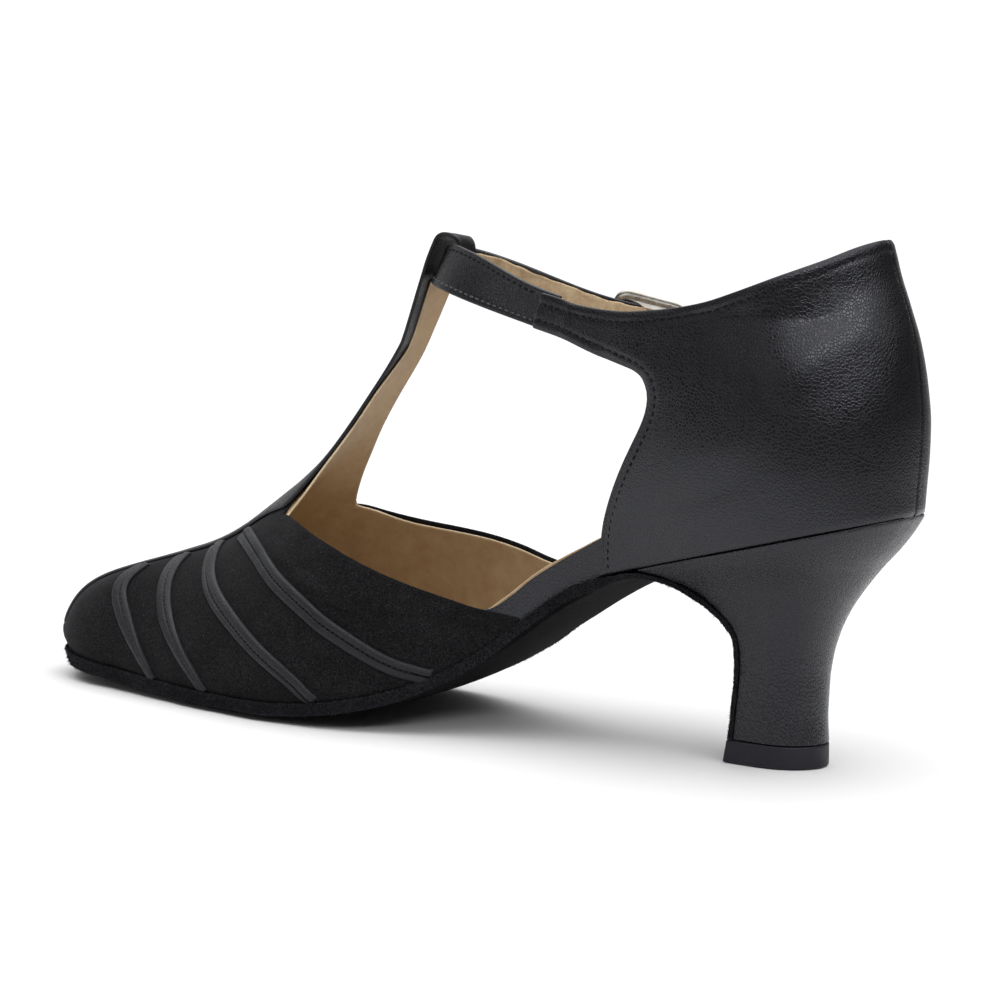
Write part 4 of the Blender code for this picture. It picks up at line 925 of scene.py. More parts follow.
quarterFolds = {
    "seamDepth": 0.45, "seamWidth": 0.34, "strapEnd": 79.5, "strapEndDepth": -0.3, "flare": -0.7,
    "flareWidth": 6.0, "collarDrop": 0.35, "collarRound": 0.8, "frontDrop": 0.85, "frontRound": 1.5,
    "rowDepth": 0.32, "rowWidth": 0.36, "wingRidge": -0.35, "collarRow": 2.5, "frontRow": 2.4, "pulls": [
        ((62, 50), (48, 60), (34, 66), 0.25, 3.2), ((60, 60), (47, 70), (30, 77), -0.22, 4.0),
        ((58, 78), (46, 84), (32, 88), 0.20, 4.5), ((24, 62), (20, 76), (22, 90), 0.16, 4.0),
        ((20, 92), (14.5, 98), (10.5, 102.5), -0.6, 4.6)],
}
quarterCentre = (40, 0, 82)
quarterLines = [([wallPoint(1, backStation(z), z) * [1, 0, 1] for z in np.linspace(58, 120.5, 24)],
                 quarterFolds["seamDepth"], quarterFolds["seamWidth"])]
edgePaths = {}
for side in (1, -1):
    for a, b, c, depth, width in quarterFolds["pulls"]:
        quarterLines.append(([wallPoint(side, *spot) for spot in (a, b, c)], depth, width))
    s = np.linspace(topLine["station"][0], upperCut["wingEnd"][side] - upperCut["wingSlant"], 90)
    collar = wallPoint(side, s, topOf[side](s))
    s = np.linspace(upperCut["wingEnd"][side], wingLine["station"][0], 40)
    z = np.linspace(wingLine["inner" if side > 0 else "outer"][0], 43.0, 50)[1:]
    front = np.concatenate([wallPoint(side, s, wingLow[side](s)), wallPoint(side, frontStation(z), z)])
    edgePaths[side] = {"collar": collar, "front": front}
    quarterLines.append((collar[:62], quarterFolds["flare"], quarterFolds["flareWidth"]))
    for edge, drop, bend in ((collar, "collarDrop", "collarRound"), (front[:24], "collarDrop", "collarRound"),
                             (front[26:], "frontDrop", "frontRound")):
        quarterLines.append((edge, quarterFolds[drop], quarterFolds[bend]))
    for edge, inset in ((collar, quarterFolds["collarRow"]), (front, quarterFolds["frontRow"])):
        quarterLines.append((edge, quarterFolds["rowDepth"], quarterFolds["rowWidth"], inset))
wingFront = [wallPoint(1, upperCut["wingEnd"][1] - 0.23 * (z - 97.3), z) for z in (97.3, 100, 103, 106)]
quarterLines.append((wingFront, quarterFolds["wingRidge"], 0.5, 0.5))
strapEnd = [wallPoint(1, quarterFolds["strapEnd"] - 0.15 * (z - 97), z) for z in (97, 99, 101, 103.5)]
quarterLines.append((strapEnd, quarterFolds["strapEndDepth"], 0.9))
outerQuarter = [lifted(patch, quarterCentre, upperCut["leatherLift"], quarterLines)
                for patch in quarterPatches(0)]
outerQuarter = [patch if k % 2 else withSkirt(patch, quarterCentre, *upperCut["quarterSkirt"])
                for k, patch in enumerate(outerQuarter)]
weldedSkin("quarter", outerQuarter, upperCut["leatherThick"], leatherLook)
innerQuarter = [lifted(patch, quarterCentre, upperCut["quarterLiningLift"])
                for patch in quarterPatches(upperCut["quarterLiningTrim"])]
weldedSkin("quarterLining", innerQuarter, upperCut["liningThick"], liningLook,
           edgeLook=liningEdgeLook)
print("quarter made")

# Strips over the vamp

stripCut = {
    "width": 4.4, "rear": 0.95, "front": 0.62, "groove": [-0.08, -0.08, 0.1, 0.0], "grooveDepth": 0.6,
    "grooveWidth": 0.05, "under": 0.35, "footSink": 0.55, "footDrop": 0.9, "stitchSink": 0.5, "points": 64,
    "footWidth": [0.62, 0.66, 0.85, 0.9], "knots": (0, 0.33, 0.68, 1),
    "lines": [(203, 204, 198, 188.3), (193, 191, 184, 169.5), (183, 176.5, 163.5, 136.5),
              (172.5, 160, 137, 110)],
    "shares": [(0.962, 0.74, 0.40, 0.0), (0.962, 0.74, 0.40, 0.0), (0.95, 0.69, 0.375, 0.0),
               (0.895, 0.64, 0.25, 0.0)],
}


def throughKnots(values, t):
    total = 0
    for i, knot in enumerate(stripCut["knots"]):
        w = values[i]
        for j, other in enumerate(stripCut["knots"]):
            if i != j:
                w = w * (t - other) / (knot - other)
        total = total + w
    return total


def stripPath(index, side, t):
    line = throughKnots(stripCut["lines"][index], t)
    h = np.clip(throughKnots(stripCut["shares"][index], t), 0.004, 0.995)
    return line, h, sidePoint(line, side, h)


def stripFrame(index, side, t):
    line, h, centre = stripPath(index, side, t)
    near = np.clip(t, 0.02, 0.96)
    along = unit(stripPath(index, side, near + 0.015)[2] - stripPath(index, side, near - 0.015)[2])
    low = np.maximum(h - 0.01, 0.001)
    a = sidePoint(line - 0.4, side, h) - sidePoint(line + 0.4, side, h)
    b = sidePoint(line, side, np.minimum(h + 0.01, 0.9999)) - sidePoint(line, side, low)
    n = unit(np.cross(a, b))
    n = n * np.where(np.sum(n * (centre - [150, 0, -40]), axis=1, keepdims=True) < 0, -1, 1)
    cross = unit(np.cross(n, along))
    return centre, n, cross * np.where(cross[:, :1] > 0, 1, -1)


def stripWidth(index, t):  # narrower towards the sole
    return stripCut["width"] * (1 - (1 - stripCut["footWidth"][index]) * softStep(0.55, 1, t))


stitchPaths = {"strip": [], "quarter": [], "strapLower": [], "strapUpper": []}
stripSlabs = {1: [], -1: []}
for side in (1, -1):
    for index in range(4):
        groove = stripCut["groove"][index]
        across = np.concatenate([[-0.5, -0.485, -0.44, -0.34], np.linspace(-0.24, groove - 0.1, 3),
                                 groove + np.array([-0.055, -0.025, 0, 0.03, 0.07]),
                                 np.linspace(groove + 0.16, 0.34, 3), [0.44, 0.485, 0.5]])
        t = np.linspace(-0.015, 1.0, stripCut["points"])
        centre, n, cross = stripFrame(index, side, t)
        rear = across < groove
        dome = np.where(rear, stripCut["rear"], stripCut["front"]) * (0.4 + 0.6 * (1 - np.abs(2 * across) ** 6))
        dent = stripCut["grooveDepth"] * np.exp(-((across - groove) / stripCut["grooveWidth"]) ** 2)
        width = stripWidth(index, t)
        sink = stripCut["footSink"] * softStep(0.97, 1, t)
        place = centre[:, None, :] + cross[:, None, :] * (across * width[:, None])[..., None]
        place[..., 2] -= stripCut["footDrop"] * softStep(0.95, 1, t)[:, None]
        top = place + n[:, None, :] * ((last["gap"] * 0.5 + dome - dent)[None, :] - sink[:, None])[..., None]
        stripSlabs[side].append((top, place - n[:, None, :] * (stripCut["under"] + sink)[:, None, None]))
        t = np.linspace(0.03, 0.95, 60)
        centre, n, cross = stripFrame(index, side, t)
        width = stripWidth(index, t)
        lift = last["gap"] * 0.5 + stripCut["rear"] - stripCut["stitchSink"]
        row = centre + cross * ((groove - 0.012) * width)[:, None] + n * lift
        stitchPaths["strip"].append((row, n))
for side, word in ((1, "inner"), (-1, "outer")):
    slabPiece(word + "VampStrips", stripSlabs[side], stripLook,
              ["vamp_strip_%s_%d" % (word, k) for k in (1, 2, 3, 4)], [smoothed])
print("vamp strips made")

# T-strap, ankle strap and buckle

nearY = strapY(119.0)
strapYs = np.concatenate([strapY(np.linspace(strapCut["start"], 119, 30)), np.linspace(nearY, -nearY, 26)[1:-1],
                          -strapY(np.linspace(119, strapCut["end"], 76))])
centre, face, up = strapFrame(strapYs)
outerHalf = (strapYs < 0)[:, None]
centre = centre + face * np.where(outerHalf, strapLift(centre[:, :1]), 0)
tip = 0.25 + 0.75 * cap((centre[:, :1] - strapCut["end"] + 1) / strapCut["tipLength"])
half = 0.5 * strapCut["width"] * np.where(strapYs[:, None] < -10, tip, 1)
extra = strapCut["instepExtra"] * softStep(86, 113, centre[:, :1]) * softStep(3, 11, strapYs)[:, None]
k = np.array([-1, -0.93, -0.8, -0.68, -0.4, 0, 0.4, 0.68, 0.8, 0.93, 1])
puff = strapCut["puff"] * np.exp(-((np.abs(k) - 0.85) / 0.12) ** 2)  # raised outside the stitch rows
puff = puff - strapCut["puff"] * np.exp(-((np.abs(k) - 0.68) / 0.06) ** 2)
place = centre[:, None, :] + up[:, None, :] * (half * k + extra * 0.5 * (1 + k))[..., None]
surface = place + face[:, None, :] * (0.5 * strapCut["thick"] + puff)[None, :, None]
backing = place + face[:, None, :] * (0.5 * strapCut["thick"] - strapCut["faceThick"])
slabPiece("ankleStrap", [(surface, backing)], leatherLook, ["ankle_strap"], [smoothed])
draw = np.random.default_rng(strapCut["seed"])
rough = np.stack([edgeNoise(draw, len(strapYs)) for _ in k], axis=1) * strapCut["ragged"]
rise = half * k * strapCut["liningShare"] + extra * 0.5 * (1 + k) + rough * np.abs(k) ** 6
place = centre[:, None, :] + up[:, None, :] * rise[..., None]
flesh = 0.5 * strapCut["thick"] + strapCut["fleshDepth"] * rough
glued = place + face[:, None, :] * (0.5 * strapCut["thick"] - strapCut["faceThick"] + 0.05)
slabPiece("ankleStrapLining", [(glued, place - face[:, None, :] * flesh[..., None])], fleshLook,
          modifiers=[smoothed])
for sign in (-1, 1):
    shown = (centre[:, 0] > strapCut["stitchFrom"]) | (strapYs < 0)
    inset = (half - strapCut["stitchInset"]) * sign + (extra if sign > 0 else 0)
    row = centre + up * inset + face * (0.5 * strapCut["thick"] - strapCut["stitchSink"])
    keep = shown & (half[:, 0] > 3.2)
    stitchPaths["strapUpper" if sign > 0 else "strapLower"].append((row[keep], face[keep]))

shares = np.array([-1, -0.93, -0.8, -0.6, -0.35, 0, 0.35, 0.6, 0.8, 0.93, 1])


def toeRow(h):  # across the strip on the toe's front face, at a height share
    off = tStrapCut["toeAside"] + shares * tStrapCut["toeHalf"]
    row = [ribPoint(toePole + toeFan * (0.5 * pi - abs(o) / toeFan), 1 if o >= 0 else -1, h) for o in off]
    return np.array(row)


tStations = np.concatenate([[228.4, 227.6, 226.6], np.arange(225.2, 205, -1.6), np.arange(204.5, 133, -1.5),
                            [133.2]])
aside = middle(tStations) + tStrapCut["toeAside"] * softStep(200, 226, tStations)
plan = aside[:, None] + shares * leatherHalf(tStations)[:, None]
skin = vampPoint(tStations[:, None] + 0 * plan, plan)
skin = np.concatenate([[toeRow(h) for h in (0.0, 0.06, 0.12, 0.19, 0.26, 0.33, 0.40)], skin])
n = outwardNormals(skin, (165, 0, 0))
crown = tStrapCut["crown"] * (1 - shares ** 2)
slim = 1 - tStrapCut["toeSlim"] * softStep(176, 204, skin[..., :1])  # thin over the toe and along the edges
body = last["gap"] + tStrapCut["thick"] * (1 - tStrapCut["edgeSlim"] * np.abs(shares) ** 8) + crown
high = skin + n * slim * body[None, :, None]
low = skin + n * (last["gap"] * slim - tStrapCut["tuck"])
loop = loopCourse()
loopYs = shares * tStrapCut["loopHalf"]
slabPiece("tStrap", [(np.concatenate([high, loopRows(loop, loopYs, halfThick)]),
                      np.concatenate([low, loopRows(loop, loopYs, -halfThick)]))],
          tStrapLook, ["t_strap"], [smoothed])


def besideStrap(s, out, rise):
    middlePoint, outward, upward = strapFrame(-strapY(np.asarray(s, float)))
    out, rise = np.asarray(out, float)[..., None], np.asarray(rise, float)[..., None]
    return middlePoint + outward * out + upward * rise


path = []
inside = 0.5 * buckleCut["height"] - buckleCut["wire"] - buckleCut["corner"]
for end, sign, start in ((buckleCut["front"], 1, 0), (buckleCut["back"], 1, 90), (buckleCut["back"], -1, 180),
                         (buckleCut["front"], -1, 270)):
    mid = end - buckleCut["corner"] if end == buckleCut["front"] else end + buckleCut["corner"]
    for a in np.radians(start + np.arange(0, 91, 10)):
        path.append(besideStrap(mid + buckleCut["corner"] * cos(a), buckleCut["out"],
                                sign * inside + buckleCut["corner"] * sin(a)))
points, faces = tubeMesh(path, buckleCut["wire"], buckleCut["wireSides"], True)
spine = np.repeat(np.array(path), buckleCut["wireSides"], axis=0)
outward = np.repeat(strapFrame(-strapY(np.array(path)[:, 0]))[1], buckleCut["wireSides"], axis=0)
through = outward * np.sum((points - spine) * outward, axis=1, keepdims=True)
points = spine + (points - spine - through) * buckleCut["flat"] + through * buckleCut["deep"]
finishPiece("buckleFrame", meshFrom("buckleFrame", points, faces), nickelLook, ["buckle_frame"],
            [smoothed])

reach = buckleCut["wire"] + buckleCut["prong"] + last["gap"]
barEnd = besideStrap(buckleCut["back"] + 2.4, buckleCut["out"] - 0.9, 0.0)
prongTip = besideStrap(buckleCut["front"] + 0.3, buckleCut["out"] + reach, 0.0)
path = [besideStrap(buckleCut["back"] + reach * cos(a), buckleCut["out"] + reach * sin(a), 0.0)
        for a in np.radians(np.arange(170, 291, 15))]
path += [barEnd + (prongTip - barEnd) * share for share in (0, 0.25, 0.5, 0.75, 0.9, 1)]
points, faces = tubeMesh(path, buckleCut["prong"], buckleCut["prongSides"], False)
finishPiece("buckleProng", meshFrom("buckleProng", points, faces), nickelLook, ["buckle_prong"],
            [bevel(0.2, 2)], 50)

ring = buckleCut["wire"] + last["gap"] + 0.5 * buckleCut["tabThick"]
line = []
for s in np.linspace(59, 70.5, 8):
    inside = wallAt(-1, s, strapHeight(s, -1)) - buckleCut["wall"]
    line.append((s, inside - last["gap"] - 0.5 * buckleCut["tabThick"] - 0.1 - strapY(s)))
line += [(buckleCut["back"] + ring * cos(a), buckleCut["out"] + ring * sin(a))
         for a in np.radians(np.arange(-90, 91, 20))]
line.append((buckleCut["back"] - 1.5, buckleCut["out"] + ring))
line = np.array(line)
tabSlabs = []
for low, high, rows in ((-0.5, -0.15, line), (0.15, 0.5, line), (-0.17, 0.17, line[:8])):
    width = np.linspace(low, high, 5)[None, :] * buckleCut["tabWidth"]
    middleGrid = besideStrap(rows[:, :1] + 0 * width, rows[:, 1:] + 0 * width, width + 0 * rows[:, :1])
    n = normalsOf(middleGrid) * 0.5 * buckleCut["tabThick"]
    tabSlabs.append((middleGrid + n, middleGrid - n))
slabPiece("buckleTab", tabSlabs, leatherLook, ["buckle_tab"], [smoothed])
print("straps and buckle made")

# Sole, insole, heel and tip

soleCut = {
    "front": 3.0, "waist": 2.3, "flap": 1.0, "margin": 0.7, "waistRoll": 0.9, "toeUndercut": 1.6,
    "ragged": 0.16, "flapRows": 44, "flapEnd": 0.3, "insoleThick": 1.6, "insoleInset": 1.95, "insoleSink": 0.28,
    "seed": 3,
}
heelSeat = {"line": 0.26, "lineBehind": 0.14, "roundBack": 0.52}
heelSections = {
    "level": list(range(11)),
    "frontS": [60, 55, 50.8, 46.6, 42.8, 39.7, 38.1, 37.7, 38, 38.6, 39.1],
    "frontZ": [43.6, 42.7, 41.5, 39.2, 36.2, 32.8, 29.2, 24.6, 19.4, 12.6, 5.5],
    "backS": [0.8, 2.8, 5.4, 9.6, 13.6, 16.9, 19.2, 20.6, 21.1, 21.1, 20.5],
    "backZ": [59.2, 55.6, 51.8, 46.8, 41.4, 36.2, 30.8, 25.2, 19.6, 12.6, 5.5],
    "half": [25.4, 23.4, 21, 18, 15.6, 13.8, 12.4, 11.4, 10.7, 10.3, 10.2],
    "roundShare": [0, 0.25, 0.5, 0.75, 0.9, 1, 1, 1, 1, 1, 1],
}
tipSections = {
    "level": [0, 1], "frontS": [40.9, 41.6], "frontZ": [5.2, 0], "backS": [20.4, 20.2], "backZ": [5.2, 0],
    "half": [10.3, 10.5], "roundShare": [1, 1],
}


def sectionRows(table, levels):
    return {key: curveOf(table, key)(levels)[:, None] for key in list(table)[1:]}


def heelGrid(table, levels, onSeat):
    row = sectionRows(table, levels)
    turns = np.concatenate([[0, 2, 5, 9], np.arange(14, 90, 6), np.arange(90, 181, 10)])
    roundBack = heelSeat["roundBack"]  # share of the depth that the round back takes
    u = np.where(turns <= 90, roundBack * (1 - np.cos(np.radians(turns))),
                 roundBack + (1 - roundBack) * (turns - 90) / 90)[None, :]
    s = row["backS"] + (row["frontS"] - row["backS"]) * u
    z = row["backZ"] + (row["frontZ"] - row["backZ"]) * u
    if onSeat:  # a thin line stays open under the quarter, but not at the very back
        line = heelSeat["line"] + heelSeat["lineBehind"] * softStep(46, 36, s[0])
        z[0] = innerEdge(s[0]) - last["gap"] - line * softStep(1, 12, s[0])
    dShape = cap(u / roundBack) * (1 - 0.06 * np.maximum(u - 0.6, 0) / 0.4)
    seatS = heelSections["backS"][0] + (heelSections["frontS"][0] - heelSections["backS"][0]) * u
    sides = {}
    for side in (1, -1):
        seatShape = halfWidth(side, seatS) / heelSections["half"][0] * np.minimum(u / 0.004, 1)
        wide = row["half"] * (seatShape + (dShape - seatShape) * row["roundShare"])
        sides[side] = xyz(s, side * wide, z)
    share = np.linspace(0, 1, 10)[1:-1][None, :, None]
    front = sides[1][:, -1:] + (sides[-1][:, -1:] - sides[1][:, -1:]) * share
    return np.concatenate([sides[1], front, sides[-1][:, ::-1]], axis=1)


def closedLoft(name, grid, look, replaced, modifiers, sharpAngle):
    rows, columns = grid.shape[:2]
    mesh = meshFrom(name, grid.reshape(-1, 3), gridFaces(rows, columns))
    bm = bmesh.new()
    bm.from_mesh(mesh)
    bmesh.ops.remove_doubles(bm, verts=bm.verts, dist=0.00002)
    bmesh.ops.holes_fill(bm, edges=[e for e in bm.edges if e.is_boundary])
    bmesh.ops.recalc_face_normals(bm, faces=bm.faces)
    bm.to_mesh(mesh)
    bm.free()
    return finishPiece(name, mesh, look, replaced, modifiers, sharpAngle)


heelLevels = np.concatenate([[0], np.linspace(0, 10, 64)])
closedLoft("heelBlock", heelGrid(heelSections, heelLevels, True), heelLook, ["heel"],
           [bevel(0.45, 3, 42)], 42)
tipGrid = heelGrid(tipSections, np.linspace(0, 1, 6), False)
closedLoft("heelTip", tipGrid, rubberLook, ["heel_tip"], [bevel(0.35, 3, 50)], 50)


def soleThick(s):
    front = soleCut["waist"] + (soleCut["front"] - soleCut["waist"]) * softStep(96, 128, s)
    return soleCut["flap"] + (front - soleCut["flap"]) * softStep(58, 76, s)


halfSpread = [0.25, 0.5, 0.7, 0.85, 0.94, 0.985, 1]
spread = np.array([-at for at in reversed(halfSpread)] + [0] + halfSpread)[None, :]
toeTurns = np.radians([86.5, 83, 78, 72, 66, 60, 54, 48, 41, 34, 27, 20, 13, 6])
soleStations = np.concatenate([toePole + toeFan * np.sin(toeTurns), np.arange(206, 63.9, -2.0)])[:, None]
wide = np.where(spread >= 0, halfWidth(1, soleStations), halfWidth(-1, soleStations))
drop = last["gap"] + 0.5 * (1 - softStep(62, 74, soleStations))
high = xyz(soleStations, middle(soleStations) + spread * (wide + soleCut["margin"]),
           bottomAt(soleStations, middle(soleStations) + spread * wide) - drop)
high[:len(toeTurns), :, 0] += soleCut["margin"]
roll = soleCut["waistRoll"] * softStep(70, 80, soleStations) * (1 - softStep(92, 102, soleStations))
high[..., 2] += roll * (np.abs(spread) > 0.97)
flapRow = np.arange(soleCut["flapRows"])
breast = sectionRows(heelSections, np.linspace(0, 9.99, len(flapRow)))
flapS = breast["frontS"][:, 0]
flapZ = breast["frontZ"][:, 0]
flapHalf = np.interp(flapS, [44, 50.8, 55, 60.9], [16.2, 18.4, 19.6, 21])
flapHalf = np.minimum(breast["half"][:, 0] * 0.95, flapHalf)
bend = np.exp(-flapRow / 1.5)  # the flap leaves the sole in a small bend
flapS = flapS + 0.9 * bend
flapZ = flapZ - 0.5 * bend - soleCut["flapEnd"] * softStep(36, 43, flapRow)
flapAlong = unit(np.stack([np.gradient(flapS), np.gradient(flapZ)], axis=1))
flap = xyz((flapS - flapAlong[:, 1] * last["gap"] * 1.2)[:, None], flapHalf[:, None] * spread,
           (flapZ + flapAlong[:, 0] * last["gap"] * 1.2)[:, None])
high = np.concatenate([high, flap])
spine = high[:, high.shape[1] // 2]
along = unit((np.concatenate([spine[1:], spine[-1:]]) - np.concatenate([spine[:1], spine[:-1]])) * [1, 0, 1])
down = np.stack([-along[:, 2], 0 * along[:, 0], along[:, 0]], axis=1)
thick = np.concatenate([soleThick(soleStations[:, 0]), np.full(len(flap), soleCut["flap"])])
low = high + (down * thick[:, None])[:, None, :]
low[..., 2] = np.maximum(low[..., 2], 0)
low[..., 0] -= soleCut["toeUndercut"] * softStep(205, 229, low[..., 0])
draw = np.random.default_rng(soleCut["seed"])
for grid in (high, low):  # ragged cut along both edges
    for column, sign in ((0, -1), (-1, 1)):
        rough = edgeNoise(draw, len(grid)) * soleCut["ragged"]
        grid[4:, column, 1] += sign * (rough + 0.1)[4:]
slabPiece("outsole", [(high, low)], soleLook, ["outsole"], [bevel(0.4, 3, 50)], 50)
soleSides = [(high[:, 0], low[:, 0]), (high[:, -1], low[:, -1]), (high[0], low[0])]

inset = soleCut["insoleInset"]
begin = float(backStation(60.0)) + inset
end = last["toeEnd"] - inset
heelTurns = np.radians([6, 12, 18, 24, 31, 38, 45, 52, 60, 68, 78, 90])
toeSines = np.sin(np.radians([0, 14, 27, 40, 52, 63, 73, 82]))
inStations = np.concatenate([begin + last["heelRound"] * (1 - np.cos(heelTurns)), np.arange(33, 206, 3.0),
                             toePole + (end - toePole) * toeSines])[:, None]
wide = np.where(spread >= 0, widthOf[1](inStations), widthOf[-1](inStations)) - inset
wide = wide * cap((inStations - begin) / (last["heelRound"] - 2)) * cap((end - inStations) / (end - toePole))
y = middle(inStations) + spread * wide
low = xyz(inStations, y, bottomAt(inStations, y) - soleCut["insoleSink"])
padded = soleCut["insoleThick"] * (0.75 + 0.25 * (1 - spread ** 6))
top = low + xyz(0.0, 0.0, padded + soleCut["insoleSink"])
slabPiece("insole", [(top, low)], liningLook, ["insole"], [smoothed])
print("bottom parts made")

# Stitches and the sole's nap

stitchCut = {
    "pitch": 1.95, "length": 1.35, "thread": 0.27, "arch": 0.14, "sink": 0.06, "rings": 6, "sides": 6,
    "fine": 0.72,
}


def stitchMesh(rows, size):
    points = []
    faces = []
    start = 0
    rings = stitchCut["rings"]
    sides = stitchCut["sides"]
    u = np.linspace(-0.5, 0.5, rings)
    turn = np.linspace(0, 2 * pi, sides, endpoint=False)
    for path, normals in rows:
        spots, n = resample(path, stitchCut["pitch"] * size, normals)
        n = unit(n)
        centres = 0.5 * (spots[1:] + spots[:-1])
        along = unit(spots[1:] - spots[:-1])
        n = unit(0.5 * (n[1:] + n[:-1]))
        side = np.cross(along, n)
        for c, a, up, b in zip(centres, along, n, side):
            spine = c + a * (u * stitchCut["length"] * size)[:, None]
            spine = spine + up * (stitchCut["arch"] * (1 - (2 * u) ** 2) - stitchCut["sink"])[:, None]
            radius = stitchCut["thread"] * size * np.sqrt(np.maximum(1 - (1.85 * u) ** 4, 0.12))
            ring = spine[:, None, :] + radius[:, None, None] * (np.cos(turn)[None, :, None] * b
                                                                + np.sin(turn)[None, :, None] * up)
            points.append(ring.reshape(-1, 3))
            for i in range(rings - 1):
                for m in range(sides):
                    p = start + i * sides + m
                    q = start + i * sides + (m + 1) % sides
                    faces.append((p, q, q + sides, p + sides))
            faces.append(tuple(start + m for m in reversed(range(sides))))
            faces.append(tuple(start + (rings - 1) * sides + m for m in range(sides)))
            start += rings * sides
    return np.concatenate(points), faces


def insetRow(side, edgePoints, inset):  # row of points on the quarter, moved away from its edge
    along = unit(np.gradient(edgePoints[:, [0, 2]], axis=0))
    s = edgePoints[:, 0] - along[:, 1] * inset
    z = edgePoints[:, 2] + along[:, 0] * inset
    spot = wallPoint(side, s, z)
    n = unit(np.cross(wallPoint(side, s + 0.3, z) - wallPoint(side, s - 0.3, z),
                      wallPoint(side, s, z + 0.3) - wallPoint(side, s, z - 0.3)))
    n = n * np.where(n[:, 1:2] * side < 0, -1, 1)
    return pressLines(spot, n, quarterLines) + n * upperCut["leatherLift"], n


for side in (1, -1):
    stitchPaths["quarter"].append(insetRow(side, edgePaths[side]["collar"][4:-1], -quarterFolds["collarRow"]))
    stitchPaths["quarter"].append(insetRow(side, edgePaths[side]["front"][1:], -quarterFolds["frontRow"]))
threads = {"strip": stripThread, "quarter": threadLook, "strapUpper": threadLook, "strapLower": waxedLook}
for group, look in threads.items():
    points, faces = stitchMesh(stitchPaths[group], stitchCut["fine"] if group == "strip" else 1)
    finishPiece(group + "Stitches", meshFrom(group + "Stitches", points, faces), look, (), [])

napCut = {
    "perMillimetre": 34, "short": 0.3, "long": 1.0, "root": 0.085, "buried": 0.25, "outward": 0.6,
    "stray": 0.55, "droop": 0.25, "seed": 7,
}
draw = np.random.default_rng(napCut["seed"])
roots = []
leans = []
for upper, lower in soleSides:  # fibres grow out of the side, between its upper and lower edge
    fine, under = resample(upper, 0.5, lower)
    length = 0.5 * (len(fine) - 1)
    at = draw.uniform(0, len(fine) - 1.001, int(length * napCut["perMillimetre"]))
    i = at.astype(int)
    along = (at - i)[:, None]
    a = fine[i] + (fine[i + 1] - fine[i]) * along
    b = under[i] + (under[i + 1] - under[i]) * along
    roots.append(a + (b - a) * draw.beta(0.7, 0.6, (len(at), 1)))
    outward = unit((roots[-1] - [150, 0, 0]) * [0.12, 1, 0]) * napCut["outward"]
    leans.append(outward + draw.normal(0, napCut["stray"], (len(at), 3)) - [0, 0, napCut["droop"]])
roots = np.concatenate(roots)
leans = unit(np.concatenate(leans))
tips = roots + leans * draw.uniform(napCut["short"], napCut["long"], (len(roots), 1)) ** 1.6
tips[:, 2] = np.maximum(tips[:, 2], 0.02)
sideways = unit(np.cross(leans, draw.normal(0, 1, leans.shape)))
other = np.cross(leans, sideways)
corners = [roots - leans * napCut["buried"] + napCut["root"] * (cos(a) * sideways + sin(a) * other)
           for a in (0, 2.1, 4.2)]
for corner in corners:
    corner[:, 2] = np.maximum(corner[:, 2], 0.02)
points = np.stack(corners + [tips], axis=1).reshape(-1, 3)
first = np.arange(0, len(points), 4)[:, None]
faces = np.concatenate([first + [0, 2, 1], first + [0, 1, 3], first + [1, 2, 3], first + [2, 0, 3]])
finishPiece("soleNap", meshFrom("soleNap", points, faces), napLook, (), [])
print("stitches and nap made")

# Studio: pale floor, soft light and the camera

studio = {
    "floorRadius": 0.40, "floor": (0.80, 0.80, 0.805, 1), "below": 0.16, "horizon": 0.10, "zenith": 2.5,
    "zenithFrom": 0.5, "zenithTo": 0.9, "seen": 1.1, "backdrop": 0.65, "backdropTurn": radians(-38),
    "boxDistance": 1.6, "boxAim": (0, 0, 0.08),
}
softboxes = {  # turn and rise, angular width and height, all in degrees, and brightness
    "keyBox": (150, 32, 70, 11, 11.0), "sideBox": (82, 17, 56, 16, 1.3), "toeBox": (34, 2, 28, 24, 1.5),
}
floorMesh = bpy.data.meshes.new("floor")
around = np.linspace(0, 2 * pi, 128, endpoint=False)
disc = studio["floorRadius"] * np.stack([np.cos(around), np.sin(around)], axis=1)
floorMesh.from_pydata([(x, y, -0.0002) for x, y in disc], [], [tuple(range(len(disc)))])
floorMesh.materials.append(newLook("paleFloor", {
    "Base Color": studio["floor"], "Roughness": 0.7, "Specular IOR Level": 0.2})[0])
floor = bpy.data.objects.new("floor", floorMesh)
bpy.context.scene.collection.objects.link(floor)

world = bpy.data.worlds.new("studio")
bpy.context.scene.world = world
world.use_nodes = True
tree = world.node_tree
direction = nodeIn(tree, "ShaderNodeTexCoord").outputs["Generated"]
height = nodeIn(tree, "ShaderNodeSeparateXYZ", None, Vector=direction).outputs["Z"]
low = rangeIn(tree, height, studio["below"], studio["horizon"], -0.05, 0.2)
high = rangeIn(tree, height, 0, studio["zenith"], studio["zenithFrom"], studio["zenithTo"])
facing = nodeIn(tree, "ShaderNodeVectorMath", {"operation": "DOT_PRODUCT"})
setInputs(tree, facing, {0: direction, 1: (cos(studio["backdropTurn"]), sin(studio["backdropTurn"]), 0)})
behind = rangeIn(tree, facing.outputs["Value"], 0, studio["backdrop"], 0.55, 0.8)
seen = nodeIn(tree, "ShaderNodeMix", {"data_type": "FLOAT"})  # the camera sees plain white
setInputs(tree, seen, {0: nodeIn(tree, "ShaderNodeLightPath").outputs["Is Camera Ray"],
                       2: sumIn(tree, behind, sumIn(tree, low, high)), 3: studio["seen"]})
setInputs(tree, tree.nodes["Background"], {"Color": (1, 1, 1, 1), "Strength": seen.outputs[0]})


def heading(turn, rise):  # towards a turn round the shoe and a rise above the floor
    return np.array([cos(turn) * cos(rise), sin(turn) * cos(rise), sin(rise)])


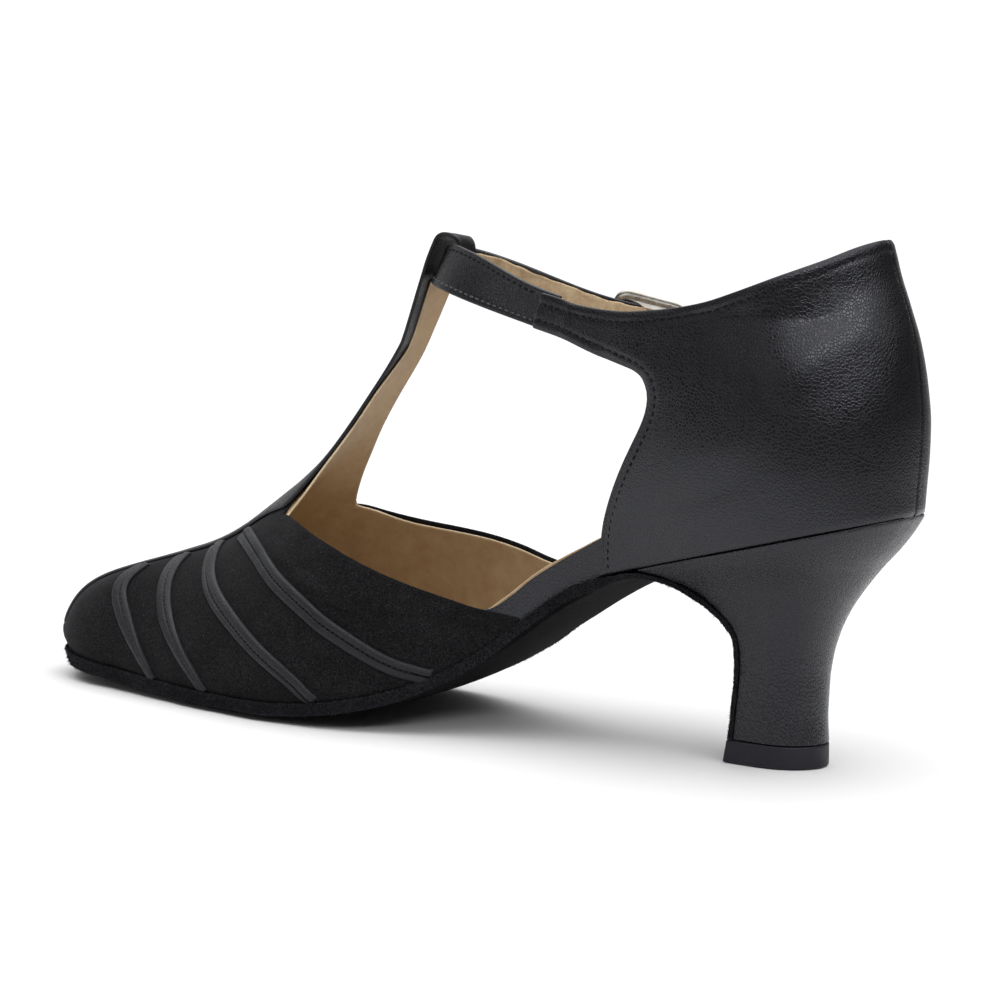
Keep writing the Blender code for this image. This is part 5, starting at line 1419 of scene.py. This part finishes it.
def placed(axes, at):
    return Matrix([[*row, value] for row, value in zip(axes, at)] + [[0, 0, 0, 1]])


def softbox(name, turn, rise, wide, tall, bright):
    far = studio["boxDistance"]
    back = heading(radians(turn), radians(rise))
    lamp = bpy.data.lights.new(name, "AREA")
    lamp.shape = "RECTANGLE"
    lamp.size = 2 * far * np.tan(radians(0.5 * wide))
    lamp.size_y = 2 * far * np.tan(radians(0.5 * tall))
    lamp.energy = bright * pi * lamp.size * lamp.size_y
    lamp.use_nodes = True
    tree = lamp.node_tree
    away = nodeIn(tree, "ShaderNodeVectorMath", {"operation": "DISTANCE"})  # fades towards its edges
    setInputs(tree, away, {0: nodeIn(tree, "ShaderNodeNewGeometry").outputs["Parametric"], 1: (0.5, 0.5, 0)})
    glow = next(node for node in tree.nodes if node.type == "EMISSION")
    setInputs(tree, glow, {"Strength": rangeIn(tree, away.outputs["Value"], 1, 0, 0.08, 0.5)})
    right = unit(np.cross([0, 0, 1.0], back))
    item = bpy.data.objects.new(name, lamp)
    axes = np.stack([right, np.cross(back, right), back], axis=1)
    item.matrix_world = placed(axes, back * far + studio["boxAim"])
    bpy.context.scene.collection.objects.link(item)


for name, values in softboxes.items():
    softbox(name, *values)

cameraSet = {"turn": radians(30), "rise": radians(7), "roll": radians(2.1), "distance": 1.0, "lens": 151.2,
             "aim": (-0.0064, 0.0, 0.0535)}
back = heading(cameraSet["turn"] + 0.5 * pi, cameraSet["rise"])
right = np.array([-cos(cameraSet["turn"]), -sin(cameraSet["turn"]), 0])
upward = np.cross(back, right)
c, s = cos(cameraSet["roll"]), sin(cameraSet["roll"])
axes = np.stack([c * right + s * upward, -s * right + c * upward, back], axis=1)
place = np.array(cameraSet["aim"]) + back * cameraSet["distance"]
cameraData = bpy.data.cameras.new("photoCamera")
cameraData.lens = cameraSet["lens"]
cameraData.sensor_width = 36.0
cameraData.clip_start = 0.05
camera = bpy.data.objects.new("photoCamera", cameraData)
camera.matrix_world = placed(axes, place)
bpy.context.scene.collection.objects.link(camera)
bpy.context.scene.camera = camera
bpy.context.scene.view_settings.view_transform = "Standard"
print("studio and camera set")
